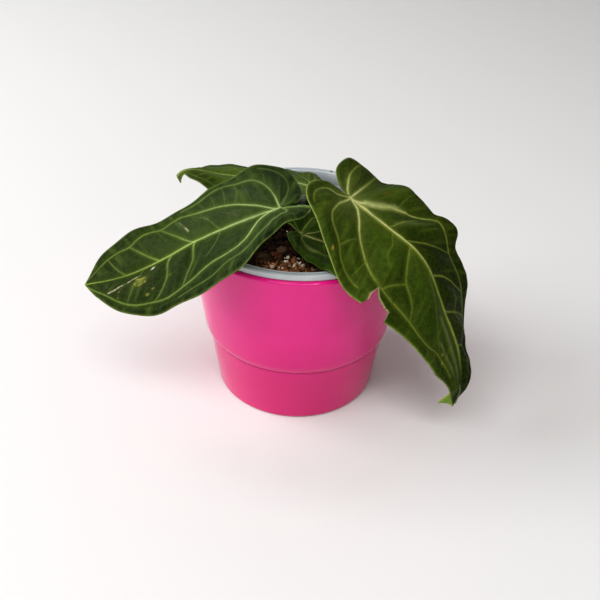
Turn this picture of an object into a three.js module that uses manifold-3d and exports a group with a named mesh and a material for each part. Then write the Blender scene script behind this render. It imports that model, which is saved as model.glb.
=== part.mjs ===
// A potted velvet-leaved anthurium: a glazed outer pot, a thin nursery pot that hangs in it by its
// lip, soil, a short stem and four heart-shaped leaves on arching petioles.
// Units are millimetres. +Z is up, the origin is the centre of the flat base, and -Y is the front.

import * as THREE from 'three';
import { mergeVertices } from 'three/addons/utils/BufferGeometryUtils.js';
import Module from 'manifold-3d';

const wasm = await Module();
wasm.setup();

const GAP = 0.3;                  // clearance kept between pieces that touch
const ROUND = 48;                 // segments round the pots and the soil

const OUTER_POT = {
  height: 102,
  baseRadius: 46.5,
  stepRadius: 51.1,               // top of the lower drum
  stepHeight: 36.5,
  shoulderRadius: 53.7,           // rounded shoulder above the drum
  shoulderHeight: 42,
  rimRadius: 61.7,
  wall: 3.2,
  floor: 4.5,
};

const NURSERY_POT = {
  lipRadius: 60,
  lipWidth: 4,
  lipHeight: 2.9,
  wall: 1.3,
  mouthRadius: 57.2,              // outside of the wall just under the lip
  ledgeDepth: 8,                  // inner ledge below the top of the lip
  ledgeWidth: 1.1,
  footRadius: 40.5,
  footHeight: 7.5,
  drainHoles: 8,
  drainRadius: 3,
  drainCircle: 30,
};

const SOIL = {
  level: 91.6,
  lumpHeight: 2.4,
  lumps: 90,
  seed: 11,
};

const STEM = {
  centre: [4, 8],
  radius: 7.4,
  foot: 62,
  top: 96.5,
  sides: 20,
  ringSpacing: 6,                 // old leaf scars
  ringDepth: 0.4,
};

const PETIOLE_SIDES = 10;

const BLADE = {
  thickness: 0.8,
  keel: 1.9,                      // thickness along the midrib at the petiole
  camber: 0.02,                   // rise of each half between midrib and margin, per mm of width
  gape: 0.04,                     // share of the margin left out beside the joint
  pleat: 0.45,                    // height of the quilting between the side veins
  pleatRows: 4,                   // rows from one side vein to the next
  wave: 0.5,                      // height of the fine waves along the margin
  waveCount: 7,
  lobeShare: 0.26,                // share of the margin that belongs to the basal lobe
  veinSweep: 1.3,                 // how the side veins crowd towards the petiole
  rows: 26,
  columns: 5,
};

// Each leaf: the joint is where petiole, midrib and lobes meet, in the pot's frame. The midrib, the
// margins (from the notch round the lobe to the tip) and the petiole are smooth curves through a few
// points. Midrib and margins are given from the joint; the petiole starts inside the stem.
const LEAVES = {
  leaf_left: {
    joint: [-10, -31, 126],
    petioleRadius: 1.8,
    petiole: [[1, 8, 88], [1, 8, 98], [1.5, 6, 110], [2.4, -5, 118.5], [0, -17, 122], [-5, -24, 123.7]],
    midrib: [[-21, -12, -3], [-41, -21, -9], [-56, -25, -17], [-75, -25.5, -27], [-96, -22, -35]],
    left: [
      [8, 0, 2], [15.5, -1.5, 2], [11, -11, 1.5], [2, -20.5, 2.5], [-6.5, -32, -0.5],
      [-16.5, -41.5, -8.5], [-30, -46, -17.5], [-45, -48, -26.5], [-59, -48, -33.5],
      [-74.5, -43, -35], [-87, -33.5, -34.5],
    ],
    right: [
      [9, 6, 1], [10, 18.5, 1], [7, 25, 3], [0, 28, 8.5], [-14, 22.5, 12], [-28, 15.5, 6.5],
      [-38.5, 9.5, 2.5], [-50, 4, -5], [-61.5, -1, -9.5], [-73.5, -5, -13], [-83, -8, -19],
      [-92.5, -12, -29.5],
    ],
  },
  leaf_right: {
    joint: [24, -33, 134],
    petioleRadius: 2.1,
    petiole: [[8, 8, 88], [8, 8, 98], [10, 5, 110], [15, -6, 121], [20, -20, 129]],
    midrib: [
      [18.5, -9.5, -10], [36, -18.5, -21.5], [48.5, -25, -46.5], [58, -30, -68],
      [61.5, -33, -86.5], [60.5, -30.5, -106],
    ],
    left: [
      [-5.5, 7, 3.5], [-6.5, 19, 7.5], [-0.5, 24.5, 10.5], [8, 26, 4], [22, 26, -6],
      [32.5, 25.5, -8.5], [39.5, 22.5, -13], [46, 17.5, -17.5], [53, 16, -20], [58, 15, -25],
      [57.5, 10, -33], [64.5, 0.5, -48.5], [64, -6, -66.5], [66, -16, -84], [66, -25, -97],
    ],
    right: [
      [-6, 1, 4], [-14, 2, 8], [-20, -3, 9.5], [-21, -14.5, 7], [-15, -24, -1], [-9, -33.5, -15],
      [-1, -40, -28], [9, -45.5, -33.5], [22, -46, -44.5], [35, -49, -55], [45.5, -44.5, -72.5],
      [52, -42, -80.5],
    ],
    // A torn notch in the margin: [share along the margin, share of the way out to it].
    notch: {
      side: -1,
      outline: [
        [0.462, 1.08], [0.478, 0.93], [0.474, 0.85], [0.491, 0.72], [0.499, 0.82],
        [0.525, 0.875], [0.545, 0.88], [0.543, 1.08],
      ],
      halfDepth: 4,
    },
  },
  leaf_back: {
    joint: [4.3, 33.6, 106],
    petioleRadius: 1.6,
    petiole: [[4, 12, 88], [4, 12, 97], [4, 17, 101], [4.2, 25, 103.8]],
    midrib: [
      [-22, -1, 5], [-44, -1.5, 5.5], [-56, -2, 7.5], [-65, -2, 9], [-71, -2.5, 8.5],
      [-75, -1.5, 4.5], [-74.5, 2, -2],
    ],
    left: [
      [6, -4, 0.5], [9, -11, 1], [5, -17, 1], [-8, -21, 0.5], [-24, -21, 0.5], [-36, -20, 1],
      [-48, -19, 1], [-56, -17, 5], [-66, -13, 9.5], [-70.5, -8, 9], [-73, -3.5, 3.5],
    ],
    right: [
      [8, 7.5, -0.5], [4.5, 15.5, -0.5], [-11.5, 18, 1], [-27, 17.5, 2], [-41, 16.5, 3],
      [-50, 17, 4], [-61, 11.5, 4.5], [-69, 4.5, 6], [-76.5, 2.5, 3],
    ],
  },
  leaf_front: {
    joint: [1.8, -17.6, 103],
    petioleRadius: 1.6,
    petiole: [[4, 4, 88], [4, 4, 96.2], [3.5, -1, 99.4], [2.8, -8, 101]],
    midrib: [[10.5, -9.5, 2], [21.5, -21.5, 4], [31, -32.5, 5], [41, -38.5, 2]],
    left: [
      [-5, 7, 1.5], [-8.5, 10, 2], [-6.5, 14.5, 3], [-1, 17.5, 4], [6, 17.5, 5], [14, 12, 5],
      [22, 2.5, 4.5], [33, -13.5, 5], [40, -29.5, 4],
    ],
    right: [
      [-4, 3, 0.5], [-8, 2, 0.5], [-7.5, -4.5, 0.5], [-4, -13, 0], [0.5, -22, 0], [6, -30, 1],
      [12.5, -39, 3.5], [20.5, -46, 4.5], [31.5, -47, 4],
    ],
  },
};

const FINISH = {
  outer_pot: { color: 0xd62a7c, roughness: 0.12 },
  nursery_pot: { color: 0x8f9aa8, roughness: 0.5 },
  soil: { color: 0x33241b, roughness: 0.95 },
  stem: { color: 0x6d5b36, roughness: 0.8 },
  leaf_left: { color: 0x24442f, roughness: 0.55 },
  leaf_right: { color: 0x41632f, roughness: 0.5 },
  leaf_back: { color: 0x2c4a33, roughness: 0.55 },
  leaf_front: { color: 0x35582f, roughness: 0.5 },
};

const vector = ([x, y, z]) => new THREE.Vector3(x, y, z);

function closedGeometry(positions, triangles) {
  const geometry = new THREE.BufferGeometry();
  geometry.setAttribute('position', new THREE.Float32BufferAttribute(positions, 3));
  geometry.setIndex(triangles);
  return geometry;
}

function toSolid(geometry) {
  const bare = geometry.clone();
  bare.deleteAttribute('normal');
  bare.deleteAttribute('uv');
  const merged = mergeVertices(bare, 1e-4);
  const corners = merged.index.array;
  const triVerts = [];
  for (let k = 0; k < corners.length; k += 3) {
    const [a, b, c] = [corners[k], corners[k + 1], corners[k + 2]];
    if (a !== b && b !== c && c !== a) triVerts.push(a, b, c);
  }
  const mesh = new wasm.Mesh({
    numProp: 3,
    vertProperties: new Float32Array(merged.attributes.position.array),
    triVerts: new Uint32Array(triVerts),
  });
  return new wasm.Manifold(mesh);
}

function toGeometry(solid) {
  const mesh = solid.getMesh();
  return closedGeometry(Array.from(mesh.vertProperties), Array.from(mesh.triVerts));
}

// The largest closed body of a solid: scraps are dropped and hollows that a join seals are filled.
function largestBody(solid) {
  const bodies = solid.decompose();
  return bodies.reduce((best, body) => (body.volume() > best.volume() ? body : best));
}

// A profile of [radius, height] pairs turned about the Z axis.
function turned(profile, segments = ROUND) {
  const points = profile.map(([radius, height]) => new THREE.Vector2(radius, height));
  return new THREE.LatheGeometry(points, segments).rotateX(Math.PI / 2);
}

function rod(points, radius, sides = PETIOLE_SIDES, steps = 22) {
  const section = new THREE.Shape();
  for (let k = 0; k < sides; k += 1) {
    const angle = (2 * Math.PI * k) / sides;
    const [x, y] = [radius * Math.cos(angle), radius * Math.sin(angle)];
    if (k === 0) section.moveTo(x, y);
    else section.lineTo(x, y);
  }
  section.closePath();
  const extrudePath = new THREE.CatmullRomCurve3(points.map(vector));
  return new THREE.ExtrudeGeometry(section, { steps, extrudePath, bevelEnabled: false });
}

function upright(radius, bottom, top, [x, y], sides = 24) {
  return new THREE.CylinderGeometry(radius, radius, top - bottom, sides)
    .rotateX(Math.PI / 2)
    .translate(x, y, (bottom + top) / 2);
}

function seededRandom(seed) {
  let state = seed;
  return () => {
    state = (state * 1664525 + 1013904223) % 4294967296;
    return state / 4294967296;
  };
}

function outerPotGeometry() {
  const p = OUTER_POT;
  const innerRim = p.rimRadius - p.wall;
  return turned([
    [0, 0],
    [p.baseRadius - 1.2, 0],
    [p.baseRadius, 1.2],
    [p.stepRadius, p.stepHeight - 0.5],
    [p.stepRadius - 0.5, p.stepHeight],
    [p.stepRadius + 0.3, p.stepHeight + 0.6],
    [p.shoulderRadius - 0.8, p.shoulderHeight - 2.9],
    [p.shoulderRadius, p.shoulderHeight],
    [p.rimRadius - 0.3, p.height - 3],
    [p.rimRadius, p.height - 1.6],
    [p.rimRadius - 0.4, p.height - 0.4],
    [p.rimRadius - 1.5, p.height],
    [innerRim + 0.4, p.height],
    [innerRim, p.height - 0.6],
    [p.shoulderRadius - p.wall, p.shoulderHeight + 2],
    [p.stepRadius - p.wall, p.stepHeight - 1],
    [p.baseRadius - p.wall, p.floor + 1.5],
    [p.baseRadius - p.wall - 2, p.floor],
    [0, p.floor],
  ]);
}

const lipBottom = OUTER_POT.height + GAP;
const lipTop = lipBottom + NURSERY_POT.lipHeight;

// Outside radius of the nursery pot's tapered wall.
function nurseryRadius(height) {
  const p = NURSERY_POT;
  const share = (height - p.footHeight) / (lipBottom - p.footHeight);
  return p.footRadius + share * (p.mouthRadius - p.footRadius);
}

function nurseryPotGeometry() {
  const p = NURSERY_POT;
  const ledge = lipTop - p.ledgeDepth;
  const floorTop = p.footHeight + p.wall;
  const throat = p.lipRadius - p.lipWidth;
  const shell = toSolid(turned([
    [0, p.footHeight],
    [p.footRadius, p.footHeight],
    [nurseryRadius(lipBottom - 2), lipBottom - 2],
    [p.mouthRadius, lipBottom],
    [p.lipRadius - 0.3, lipBottom],
    [p.lipRadius, lipBottom + 0.3],
    [p.lipRadius, lipTop - 0.6],
    [p.lipRadius - 0.6, lipTop],
    [throat + 0.5, lipTop],
    [throat, lipTop - 0.5],
    [throat - 0.3, ledge + 0.5],
    [throat - 0.3 - p.ledgeWidth, ledge],
    [nurseryRadius(ledge - 3) - p.wall, ledge - 3],
    [nurseryRadius(floorTop) - p.wall, floorTop],
    [0, floorTop],
  ]));
  let pot = shell;
  for (let k = 0; k < p.drainHoles; k += 1) {
    const angle = (2 * Math.PI * k) / p.drainHoles;
    const centre = [p.drainCircle * Math.cos(angle), p.drainCircle * Math.sin(angle)];
    pot = pot.subtract(toSolid(upright(p.drainRadius, p.footHeight - 2, floorTop + 2, centre, 12)));
  }
  return toGeometry(pot);
}

function soilGeometry() {
  const random = seededRandom(SOIL.seed);
  const bottom = NURSERY_POT.footHeight + NURSERY_POT.wall + GAP;
  const wallRadius = (height) => nurseryRadius(height) - NURSERY_POT.wall - GAP;
  const edge = SOIL.level - 1;
  const rings = 13;
  const profile = [[0, bottom], [wallRadius(bottom), bottom], [wallRadius(edge), edge]];
  for (let k = rings; k >= 0; k -= 1) {
    profile.push([(k / rings) * (wallRadius(SOIL.level) - 0.2), SOIL.level]);
  }
  const lumps = [];
  for (let k = 0; k < SOIL.lumps; k += 1) {
    const angle = 2 * Math.PI * random();
    const reach = 50 * Math.sqrt(random());
    lumps.push({
      x: reach * Math.cos(angle),
      y: reach * Math.sin(angle),
      size: 2.5 + 3 * random(),
      height: SOIL.lumpHeight * (random() - 0.3),
    });
  }
  const geometry = turned(profile);
  const position = geometry.attributes.position;
  const rim = wallRadius(SOIL.level) - 0.2;
  for (let k = 0; k < position.count; k += 1) {
    if (position.getZ(k) < SOIL.level - 0.01) continue;
    const [x, y] = [position.getX(k), position.getY(k)];
    const radius = Math.hypot(x, y);
    const fade = Math.min(1, (rim - radius) / 4);
    let rise = 0.6 * Math.sin(x / 9) * Math.cos(y / 11);
    for (const lump of lumps) {
      const distance = Math.hypot(x - lump.x, y - lump.y) / lump.size;
      rise += lump.height * Math.exp(-distance * distance);
    }
    position.setZ(k, SOIL.level + fade * rise);
  }
  const hole = upright(STEM.radius + GAP, STEM.foot - GAP, SOIL.level + 15, STEM.centre, 28);
  return toGeometry(largestBody(toSolid(geometry).subtract(toSolid(hole))));
}

function stemGeometry() {
  const profile = [[0, STEM.foot], [STEM.radius - 2.5, STEM.foot], [STEM.radius, STEM.foot + 3]];
  for (let height = STEM.foot + 5; height < STEM.top - 2; height += STEM.ringSpacing) {
    profile.push([STEM.radius, height], [STEM.radius - STEM.ringDepth, height + 0.5]);
  }
  profile.push([STEM.radius, STEM.top - 1.6], [STEM.radius - 1.3, STEM.top], [0, STEM.top]);
  let stem = toSolid(turned(profile, STEM.sides).translate(...STEM.centre, 0));
  for (const leaf of Object.values(LEAVES)) {
    const socket = petiolePoints(leaf);
    socket[0] = [socket[0][0], socket[0][1], socket[0][2] - GAP];
    stem = stem.subtract(toSolid(rod(socket, leaf.petioleRadius + GAP)));
  }
  return toGeometry(largestBody(stem));
}

function petiolePoints(leaf) {
  const [x, y, z] = leaf.joint;
  return [...leaf.petiole, [x, y, z - 0.8]];
}

// The curves that carry a blade: its midrib and the margin of each side, from the joint.
function bladeCurves(leaf) {
  const joint = new THREE.Vector3();
  const tip = vector(leaf.midrib.at(-1));
  const through = (points) => new THREE.CatmullRomCurve3([joint, ...points.map(vector)]);
  return {
    midrib: through(leaf.midrib),
    1: through([...leaf.left, tip.toArray()]),
    [-1]: through([...leaf.right, tip.toArray()]),
  };
}

// Where on the midrib the side vein starts that reaches the margin at this share of its length.
// In the lobe all of them start at the joint.
function station(along) {
  const past = Math.max(0, (along - BLADE.lobeShare) / (1 - BLADE.lobeShare));
  return past ** BLADE.veinSweep;
}

// A side vein: its root on the midrib, its reach to the margin and the blade's normal there.
function sideVein(curves, side, along) {
  const root = curves.midrib.getPointAt(station(along));
  const tangent = curves.midrib.getTangentAt(station(along));
  const share = BLADE.gape + (1 - BLADE.gape) * along;
  const reach = curves[side].getPointAt(share).sub(root);
  const width = reach.length();
  const across = new THREE.Vector3(-tangent.y, tangent.x, 0).normalize();
  const normal = tangent.clone().cross(reach).multiplyScalar(side);
  normal.addScaledVector(tangent.clone().cross(across), 0.6 * width).normalize();
  return { root, reach, width, normal };
}

function bladePoint(vein, out, relief = 0) {
  const lift = BLADE.camber * vein.width * 4 * out * (1 - out) + relief;
  return vein.root.clone().addScaledVector(vein.reach, out).addScaledVector(vein.normal, lift);
}

// One half of a blade as rows of points, each along a side vein from the midrib to the margin.
function bladeRows(curves, side) {
  const rows = [];
  for (let i = 0; i < BLADE.rows; i += 1) {
    const along = i / BLADE.rows;
    const vein = sideVein(curves, side, along);
    const taper = Math.min(1, vein.width / 15);
    const pleat = BLADE.pleat * Math.cos((2 * Math.PI * i) / BLADE.pleatRows);
    const wave = BLADE.wave * Math.sin(2 * Math.PI * BLADE.waveCount * along);
    const row = [];
    for (let j = 1; j <= BLADE.columns; j += 1) {
      const out = j / BLADE.columns;
      row.push(bladePoint(vein, out, taper * (wave * out * out - pleat * 4 * out * (1 - out))));
    }
    rows.push(row);
  }
  return rows;
}

// The blade's upper face. The joint, the midrib and the tip are shared by its two halves.
function bladeGeometry(leaf) {
  const curves = bladeCurves(leaf);
  const lobeRows = Math.floor(BLADE.lobeShare * BLADE.rows);
  const vertices = [];
  for (let i = lobeRows; i <= BLADE.rows; i += 1) {
    vertices.push(curves.midrib.getPointAt(station(i / BLADE.rows)));
  }
  const keelCount = vertices.length;
  const triangles = [];
  for (const side of [1, -1]) {
    const start = vertices.length;
    for (const row of bladeRows(curves, side)) vertices.push(...row);
    const index = (i, j) => {
      if (i === BLADE.rows) return keelCount - 1;
      return j === 0 ? Math.max(0, i - lobeRows) : start + i * BLADE.columns + j - 1;
    };
    const face = (a, b, c) => {
      if (a === b || b === c || c === a) return;
      triangles.push(...(side === 1 ? [a, b, c] : [a, c, b]));
    };
    for (let i = 0; i < BLADE.rows; i += 1) {
      for (let j = 0; j < BLADE.columns; j += 1) {
        face(index(i, j), index(i + 1, j), index(i + 1, j + 1));
        face(index(i, j), index(i + 1, j + 1), index(i, j + 1));
      }
    }
  }
  return thickened(vertices, triangles, keelCount);
}

// Closes a sheet of triangles into a blade: the same triangles again below it, and a narrow edge.
function thickened(vertices, triangles, keelCount) {
  const normals = vertices.map(() => new THREE.Vector3());
  for (let k = 0; k < triangles.length; k += 3) {
    const [a, b, c] = triangles.slice(k, k + 3);
    const normal = vertices[b].clone().sub(vertices[a]).cross(vertices[c].clone().sub(vertices[a]));
    for (const corner of [a, b, c]) normals[corner].add(normal);
  }
  const count = vertices.length;
  const below = vertices.map((point, k) => {
    const share = k < keelCount ? 1 - k / keelCount : 0;
    const depth = BLADE.thickness + share * (BLADE.keel - BLADE.thickness);
    return point.clone().addScaledVector(normals[k].normalize(), -depth);
  });
  const edges = new Map();
  for (let k = 0; k < triangles.length; k += 3) {
    for (let c = 0; c < 3; c += 1) {
      const [from, to] = [triangles[k + c], triangles[k + ((c + 1) % 3)]];
      edges.set(`${from},${to}`, [from, to]);
    }
  }
  const faces = [...triangles];
  for (let k = 0; k < triangles.length; k += 3) {
    faces.push(triangles[k + 2] + count, triangles[k + 1] + count, triangles[k] + count);
  }
  for (const [from, to] of edges.values()) {
    if (edges.has(`${to},${from}`)) continue;
    faces.push(to, from, from + count, to, from + count, to + count);
  }
  return closedGeometry([...vertices, ...below].flatMap((point) => point.toArray()), faces);
}

// A prism through the blade, with the notch's outline as its section.
function notchGeometry(leaf) {
  const { side, outline, halfDepth } = leaf.notch;
  const curves = bladeCurves(leaf);
  const middle = outline.reduce((sum, [along]) => sum + along / outline.length, 0);
  const { normal } = sideVein(curves, side, middle);
  const section = outline.map(([along, out]) => new THREE.Vector2(along, out));
  const edge = outline.map(([along, out]) => bladePoint(sideVein(curves, side, along), out));
  const shifted = (depth) => edge.map((point) => point.clone().addScaledVector(normal, depth));
  const count = edge.length;
  const faces = [];
  for (const [a, b, c] of THREE.ShapeUtils.triangulateShape(section, [])) {
    faces.push(a, b, c, c + count, b + count, a + count);
  }
  for (let k = 0; k < count; k += 1) {
    const next = (k + 1) % count;
    faces.push(next, k, k + count, next, k + count, next + count);
  }
  const corners = [...shifted(side * halfDepth), ...shifted(-side * halfDepth)];
  return closedGeometry(corners.flatMap((point) => point.toArray()), faces);
}

// Blade and petiole are one growth, kept about the joint so that a leaf turns where it is held.
function leafGeometry(leaf) {
  const [x, y, z] = leaf.joint;
  const petiole = rod(petiolePoints(leaf), leaf.petioleRadius).translate(-x, -y, -z);
  let body = toSolid(bladeGeometry(leaf)).add(toSolid(petiole));
  if (leaf.notch) body = body.subtract(toSolid(notchGeometry(leaf)));
  return toGeometry(largestBody(body));
}

function node(name, geometry, position = [0, 0, 0]) {
  const mesh = new THREE.Mesh(geometry, new THREE.MeshStandardMaterial({ metalness: 0, ...FINISH[name] }));
  mesh.name = name;
  mesh.position.set(...position);
  return mesh;
}

const plant = new THREE.Group();
plant.add(node('stem', stemGeometry()));
for (const [name, leaf] of Object.entries(LEAVES)) {
  plant.add(node(name, leafGeometry(leaf), leaf.joint));
}

const object = new THREE.Group();
object.add(
  node('outer_pot', outerPotGeometry()),
  node('nursery_pot', nurseryPotGeometry()),
  node('soil', soilGeometry()),
  plant,
);

export default object;
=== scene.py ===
"""The looks of a potted velvet-leaved anthurium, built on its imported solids.

Lengths are millimetres in the part's frame, and become metres where a mesh is made.
+Z is up, the origin is the centre of the flat base, and -Y is the front.
"""

import math

import bmesh
import bpy
import numpy as np
from mathutils import Matrix, Vector, noise


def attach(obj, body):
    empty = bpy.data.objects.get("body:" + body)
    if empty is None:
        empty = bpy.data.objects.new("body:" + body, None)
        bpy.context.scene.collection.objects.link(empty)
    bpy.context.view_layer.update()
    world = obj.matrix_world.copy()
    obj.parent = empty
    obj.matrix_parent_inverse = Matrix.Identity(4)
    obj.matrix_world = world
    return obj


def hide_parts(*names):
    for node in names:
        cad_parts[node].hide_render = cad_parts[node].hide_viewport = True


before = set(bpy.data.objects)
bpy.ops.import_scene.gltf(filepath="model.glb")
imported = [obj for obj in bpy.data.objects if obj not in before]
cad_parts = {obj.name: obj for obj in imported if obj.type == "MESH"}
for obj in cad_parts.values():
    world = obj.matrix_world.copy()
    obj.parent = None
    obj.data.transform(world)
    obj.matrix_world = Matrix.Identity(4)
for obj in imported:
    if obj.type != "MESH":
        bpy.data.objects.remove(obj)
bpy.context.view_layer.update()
MM = 0.001


# Camera, stage and light. The stage and the lights are in metres.

LENS_PX, FRAME_PX = 803.0, 600.0          # focal length for a 600 pixel wide picture
SENSOR_WIDTH = 36.0
EYE = (1.4, -382.5, 317.2)
ELEVATION, ROLL = math.radians(35), math.radians(2)

FLOOR_REACH, BACK_START, BACK_BEND, BACK_TOP = 5.0, 1.1, 0.6, 2.4
FLOOR_GREY, FLOOR_ROUGHNESS, FLOOR_SPECULAR = 0.77, 0.85, 0.2
SKY, SKY_STRENGTH = (1.0, 0.97, 0.94, 1), 0.26
WHITE, WARM = (1.0, 1.0, 1.0), (1.0, 0.99, 0.97)
LIGHTS = [          # name, place, aim, size, power, colour
    ("window", (-1.55, -0.15, 0.95), (-0.1, 0, 0.08), (1.3, 1.1), 25.5, WHITE),
    ("top", (-0.15, -0.70, 1.14), (0, 0, 0.08), (1.05, 0.24), 9.4, WARM),
    ("front", (0.1, -1.5, 0.8), (0, 0, 0.06), (0.9, 0.6), 1.5, WARM),
    ("backdrop", (-1.0, 0.35, 1.3), (-0.5, 1.5, 0.2), (0.8, 0.5), 6.0, WHITE),
]


def make_camera():
    data = bpy.data.cameras.new("camera")
    data.sensor_width = SENSOR_WIDTH
    data.lens = SENSOR_WIDTH * LENS_PX / FRAME_PX
    data.clip_start, data.clip_end = 0.01, 20.0
    camera = bpy.data.objects.new("camera", data)
    bpy.context.collection.objects.link(camera)
    right = Vector((1, 0, 0))
    forward = Vector((0, math.cos(ELEVATION), -math.sin(ELEVATION)))
    up = right.cross(forward)
    turned_right = math.cos(ROLL) * right + math.sin(ROLL) * up
    turned_up = math.cos(ROLL) * up - math.sin(ROLL) * right
    axes = Matrix((turned_right, turned_up, -forward)).transposed().to_4x4()
    camera.matrix_world = Matrix.Translation(Vector(EYE) * MM) @ axes
    bpy.context.scene.camera = camera


def area_light(name, place, aim, size, power, colour):
    data = bpy.data.lights.new(name, "AREA")
    data.shape, data.size, data.size_y = "RECTANGLE", size[0], size[1]
    data.energy, data.color = power, colour
    lamp = bpy.data.objects.new(name, data)
    bpy.context.collection.objects.link(lamp)
    lamp.location = place
    lamp.rotation_euler = (Vector(aim) - Vector(place)).to_track_quat("-Z", "Y").to_euler()


def make_stage():
    """A pale floor that bends up into a backdrop a good way behind the plant."""
    profile = [(-FLOOR_REACH, 0.0), (BACK_START, 0.0)]
    for k in range(1, 13):
        angle = math.pi / 2 * k / 12
        profile.append((BACK_START + BACK_BEND * math.sin(angle), BACK_BEND * (1 - math.cos(angle))))
    profile.append((BACK_START + BACK_BEND, BACK_TOP))
    vertices = [(x, y, z) for y, z in profile for x in (-FLOOR_REACH, FLOOR_REACH)]
    faces = [(2 * k, 2 * k + 1, 2 * k + 3, 2 * k + 2) for k in range(len(profile) - 1)]
    mesh = bpy.data.meshes.new("floor")
    mesh.from_pydata(vertices, [], faces)
    mesh.shade_smooth()
    floor = bpy.data.objects.new("floor", mesh)
    bpy.context.collection.objects.link(floor)
    material = bpy.data.materials.new("pale_floor")
    material.use_nodes = True
    shader = material.node_tree.nodes["Principled BSDF"]
    shader.inputs["Base Color"].default_value = (FLOOR_GREY, FLOOR_GREY, FLOOR_GREY, 1)
    shader.inputs["Roughness"].default_value = FLOOR_ROUGHNESS
    shader.inputs["Specular IOR Level"].default_value = FLOOR_SPECULAR
    mesh.materials.append(material)

    world = bpy.data.worlds.new("world")
    bpy.context.scene.world = world
    world.use_nodes = True
    background = world.node_tree.nodes["Background"]
    background.inputs["Color"].default_value = SKY
    background.inputs["Strength"].default_value = SKY_STRENGTH
    for light in LIGHTS:
        area_light(*light)
    bpy.context.scene.view_settings.view_transform = "Standard"


make_camera()
make_stage()


# Curves, colours and meshes


def linear(red, green, blue):
    """An sRGB colour of 0 to 255 as linear light, with alpha 1."""
    share = np.array([red, green, blue]) / 255.0
    light = np.where(share <= 0.04045, share / 12.92, ((share + 0.055) / 1.055) ** 2.4)
    return (*light.tolist(), 1.0)


def mixed(colour, other, share):
    """Colours moved towards another one by a share of 0 to 1 for each vertex."""
    return colour + (np.array(other) - colour) * np.clip(share, 0, 1)[:, None]


def bell(x, width):
    """1 at 0, and falls to nearly 0 at about twice the width."""
    return np.exp(-((x / width) ** 2))


def toned(colour, share):
    """A colour made lighter or darker by a share."""
    return np.array(colour) * [share, share, share, 1]


class Curve:
    """A centripetal Catmull-Rom curve through points, read by its share of the length."""

    def __init__(self, points, samples=900):
        p = np.array(points, float)
        p = np.vstack([2 * p[0] - p[1], p, 2 * p[-1] - p[-2]])
        knots = np.sqrt(np.linalg.norm(np.diff(p, axis=0), axis=1)).clip(1e-2)
        pieces = len(p) - 3
        share = np.linspace(0, pieces, samples)
        k = np.minimum(share.astype(int), pieces - 1)
        t = (share - k)[:, None]
        a, b, c = knots[k][:, None], knots[k + 1][:, None], knots[k + 2][:, None]
        p0, p1, p2, p3 = p[k], p[k + 1], p[k + 2], p[k + 3]
        leave = ((p1 - p0) / a - (p2 - p0) / (a + b) + (p2 - p1) / b) * b
        arrive = ((p2 - p1) / b - (p3 - p1) / (b + c) + (p3 - p2) / c) * b
        self.points = (
            p1
            + leave * t
            + (-3 * p1 + 3 * p2 - 2 * leave - arrive) * t**2
            + (2 * p1 - 2 * p2 + leave + arrive) * t**3
        )
        steps = np.linalg.norm(np.diff(self.points, axis=0), axis=1)
        self.travel = np.concatenate([[0], np.cumsum(steps)])
        self.length = self.travel[-1]
        self.slopes = np.gradient(self.points, axis=0)

    def _read(self, values, share):
        wanted = np.asarray(share, float) * self.length
        columns = [np.interp(wanted, self.travel, values[:, k]) for k in range(values.shape[1])]
        return np.stack(columns, -1)

    def at(self, share):
        return self._read(self.points, share)

    def tangent(self, share):
        return unit(self._read(self.slopes, share))


def unit(v):
    return v / np.maximum(np.linalg.norm(v, axis=-1, keepdims=True), 1e-9)


def smoothstep(low, high, x):
    t = np.clip((x - low) / (high - low), 0, 1)
    return t * t * (3 - 2 * t)


def fractal(points, size, octaves=3, seed=0.0):
    """Smooth random values of about -1 to 1 at points, with features of this size."""
    shift = Vector((seed * 7.31, seed * 3.17, seed * 5.77))
    scaled = (np.asarray(points, float) / size).tolist()
    return np.array([noise.fractal(Vector(p) + shift, 0.7, 2.0, octaves) for p in scaled])


class Shape:
    """Vertices in millimetres, faces, and a colour and some numbers for each vertex."""

    def __init__(self):
        self.vertices, self.faces, self.values, self.count = [], [], {}, 0

    def add(self, vertices, faces, **values):
        vertices = np.asarray(vertices, float)
        for name, given in values.items():
            given = np.asarray(given, float)
            wide = (len(vertices), 4) if given.shape[-1:] == (4,) else (len(vertices),)
            self.values.setdefault(name, []).append(np.broadcast_to(given, wide))
        self.vertices.append(vertices)
        self.faces += [tuple(int(c) + self.count for c in face) for face in faces]
        self.count += len(vertices)

    def object(self, name, material, smooth=True, weld=False):
        mesh = bpy.data.meshes.new(name)
        mesh.from_pydata((np.vstack(self.vertices) * MM).tolist(), [], self.faces)
        for key, parts in self.values.items():
            data = np.concatenate(parts)
            kind = "FLOAT_COLOR" if data.ndim == 2 else "FLOAT"
            attribute = mesh.attributes.new(key, kind, "POINT")
            field = "color" if data.ndim == 2 else "value"
            attribute.data.foreach_set(field, data.astype(np.float32).ravel())
        work = bmesh.new()
        work.from_mesh(mesh)
        if weld:
            bmesh.ops.remove_doubles(work, verts=work.verts, dist=1e-6)
        bmesh.ops.recalc_face_normals(work, faces=work.faces)
        for face in work.faces:
            face.smooth = smooth
        work.to_mesh(mesh)
        work.free()
        mesh.materials.append(material)
        piece = bpy.data.objects.new(name, mesh)
        bpy.context.collection.objects.link(piece)
        return piece


def grid_faces(rows, columns, ring=False):
    """Faces of a grid of points, given row by row. A ring's last column joins its first."""
    faces = []
    for i in range(rows - 1):
        for j in range(columns if ring else columns - 1):
            here, there, n = i * columns, (i + 1) * columns, (j + 1) % columns
            faces.append((here + j, here + n, there + n, there + j))
    return faces


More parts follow.
